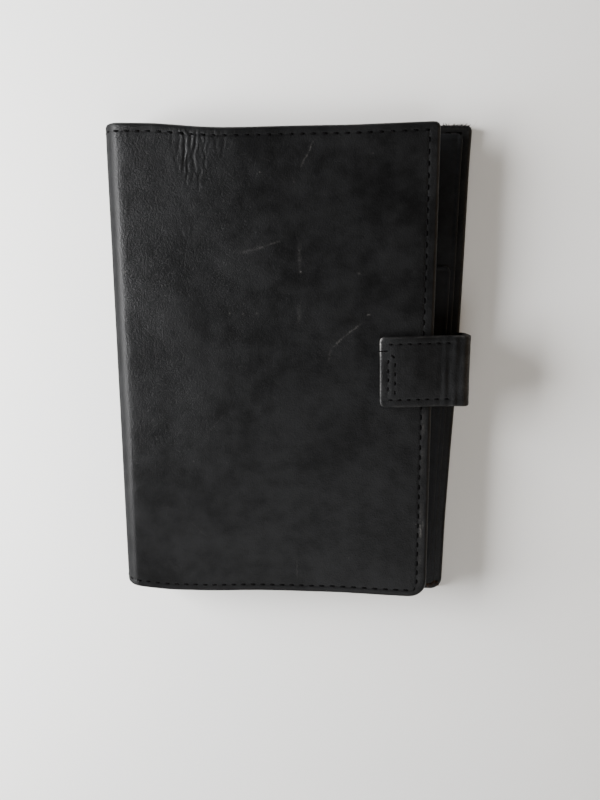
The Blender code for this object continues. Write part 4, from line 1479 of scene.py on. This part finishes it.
def build_snap():
    """Build the stud and the socket with rounded rims, and finish the snap's other pieces."""
    low, high = STUD_LOW[2], STUD_HIGH[2]
    turned("snap_button", "snap_stud", "front_cover", [
        (0.02, high - 0.10), (0.55, high - 0.10), (0.75, high - 0.02), (1.3, high), (1.62, high - 0.06),
        (1.84, high - 0.22), (1.9, high - 0.42), (1.84, high - 0.6), (1.62, high - 0.78),
        (1.5, high - 0.86), (1.5, low + 0.42), (1.62, low + 0.32), (3.5, low + 0.3), (3.9, low + 0.34),
        (4.2, low + 0.3), (4.38, low + 0.18), (4.4, low + 0.08), (4.3, low), (0.95, low),
        (0.85, low + 0.05), (0.85, high - 0.4), (0.8, high - 0.36), (0.02, high - 0.36),
        (0.02, high - 0.10),
    ], "snap_metal")
    low, high = SOCKET_LOW[2], SOCKET_HIGH[2]
    turned("snap_ring", "snap_socket", "tab_flap", [
        (4.3, high), (4.3, low + 0.16), (4.22, low + 0.05), (4.05, low), (3.4, low + 0.02),
        (3.1, low + 0.06), (2.6, low), (2.4, low + 0.02), (2.3, low + 0.1), (2.33, low + 0.17),
        (2.42, low + 0.2), (3.3, low + 0.2), (3.3, high), (4.3, high),
    ], "snap_metal")
    nodes = frame["nodes"]
    for name, material in (
        ("snap_stud_post", NICKEL), ("snap_cap", NICKEL), ("snap_ring_spring", BRASS),
        ("spine_stay", STAY_BOARD),
    ):
        nodes[name].data.materials.clear()
        nodes[name].data.materials.append(material)


build_snap()


# ---------------------------------------------------------------- frayed corners

def strand(root, way, length, curl, steps=7):
    """Return a fibre's points, wandering off from its root."""
    points = [np.array(root, float)]
    way = np.array(way, float)
    for _ in range(steps - 1):
        way = way + RNG.normal(0.0, curl, 3)
        way = way / np.linalg.norm(way)
        step = points[-1] + way * length / (steps - 1)
        step[2] = max(step[2], 0.15)
        points.append(step)
    return points


def root_near(corner, *ranges):
    """Return a random place near a corner, within a range along each axis."""
    return corner + np.array([RNG.uniform(*limits) for limits in ranges])


def build_fray():
    """Fray the back cover's two free corners."""
    pale = fibre_look("pale fibre", (0.12, 0.10, 0.07), (0.45, 0.40, 0.30))
    brown = fibre_look("brown fibre", (0.010, 0.005, 0.003), (0.055, 0.030, 0.016))
    black = fibre_look("black fibre", (0.003, 0.003, 0.003), (0.016, 0.014, 0.012))
    edge = BACK.length - ROLL
    low_corner = BACK.place(edge, ROLL - BACK.half, ROLL)
    high_corner = BACK.place(edge, BACK.half - ROLL, ROLL)
    tufts = []
    for _ in range(130):
        root = root_near(low_corner, (-4.8, 0.5), (-0.4, 1.7), (0.3, 1.2))
        points = strand(root, (0.4, -0.6, 0.1), RNG.uniform(0.5, 1.5), 0.5)
        tufts.append((points, RNG.uniform(0.14, 0.32)))
    fibres("lower_fray", brown, "back_cover", tufts)
    wisps = []
    for _ in range(16):
        root = root_near(low_corner, (-5.4, -2.2), (-0.7, 0.2), (-0.4, 0.6))
        wisps.append((strand(root, (-0.3, -0.8, 0.0), RNG.uniform(0.9, 2.0), 0.5), 0.06))
    fibres("lower_wisps", pale, "back_cover", wisps)
    tufts = []
    for _ in range(70):
        u = BACK.length - RNG.uniform(0.4, 12.5)
        root = BACK.place(u, BACK.half - RNG.uniform(0.0, 0.9), RNG.uniform(1.0, HEM_TOP + 0.15))
        points = strand(root, (0.2, 1.0, 0.2), RNG.uniform(0.4, 1.2), 0.5)
        tufts.append((points, RNG.uniform(0.1, 0.22)))
    fibres("upper_fray", black, "back_cover", tufts)
    wisps = []
    for _ in range(14):
        u = BACK.length - RNG.uniform(1.0, 12.0)
        root = BACK.place(u, BACK.half - 0.3, RNG.uniform(0.6, 1.9))
        wisps.append((strand(root, (0.1, 1.0, 0.3), RNG.uniform(0.7, 2.0), 0.4), 0.04))
    root = high_corner + np.array((0.3, 0.3, 0.2))
    wisps.append((strand(root, (0.9, 0.5, 0.1), 4.0, 0.2, 9), 0.045))
    fibres("upper_wisps", pale, "back_cover", wisps)


build_fray()
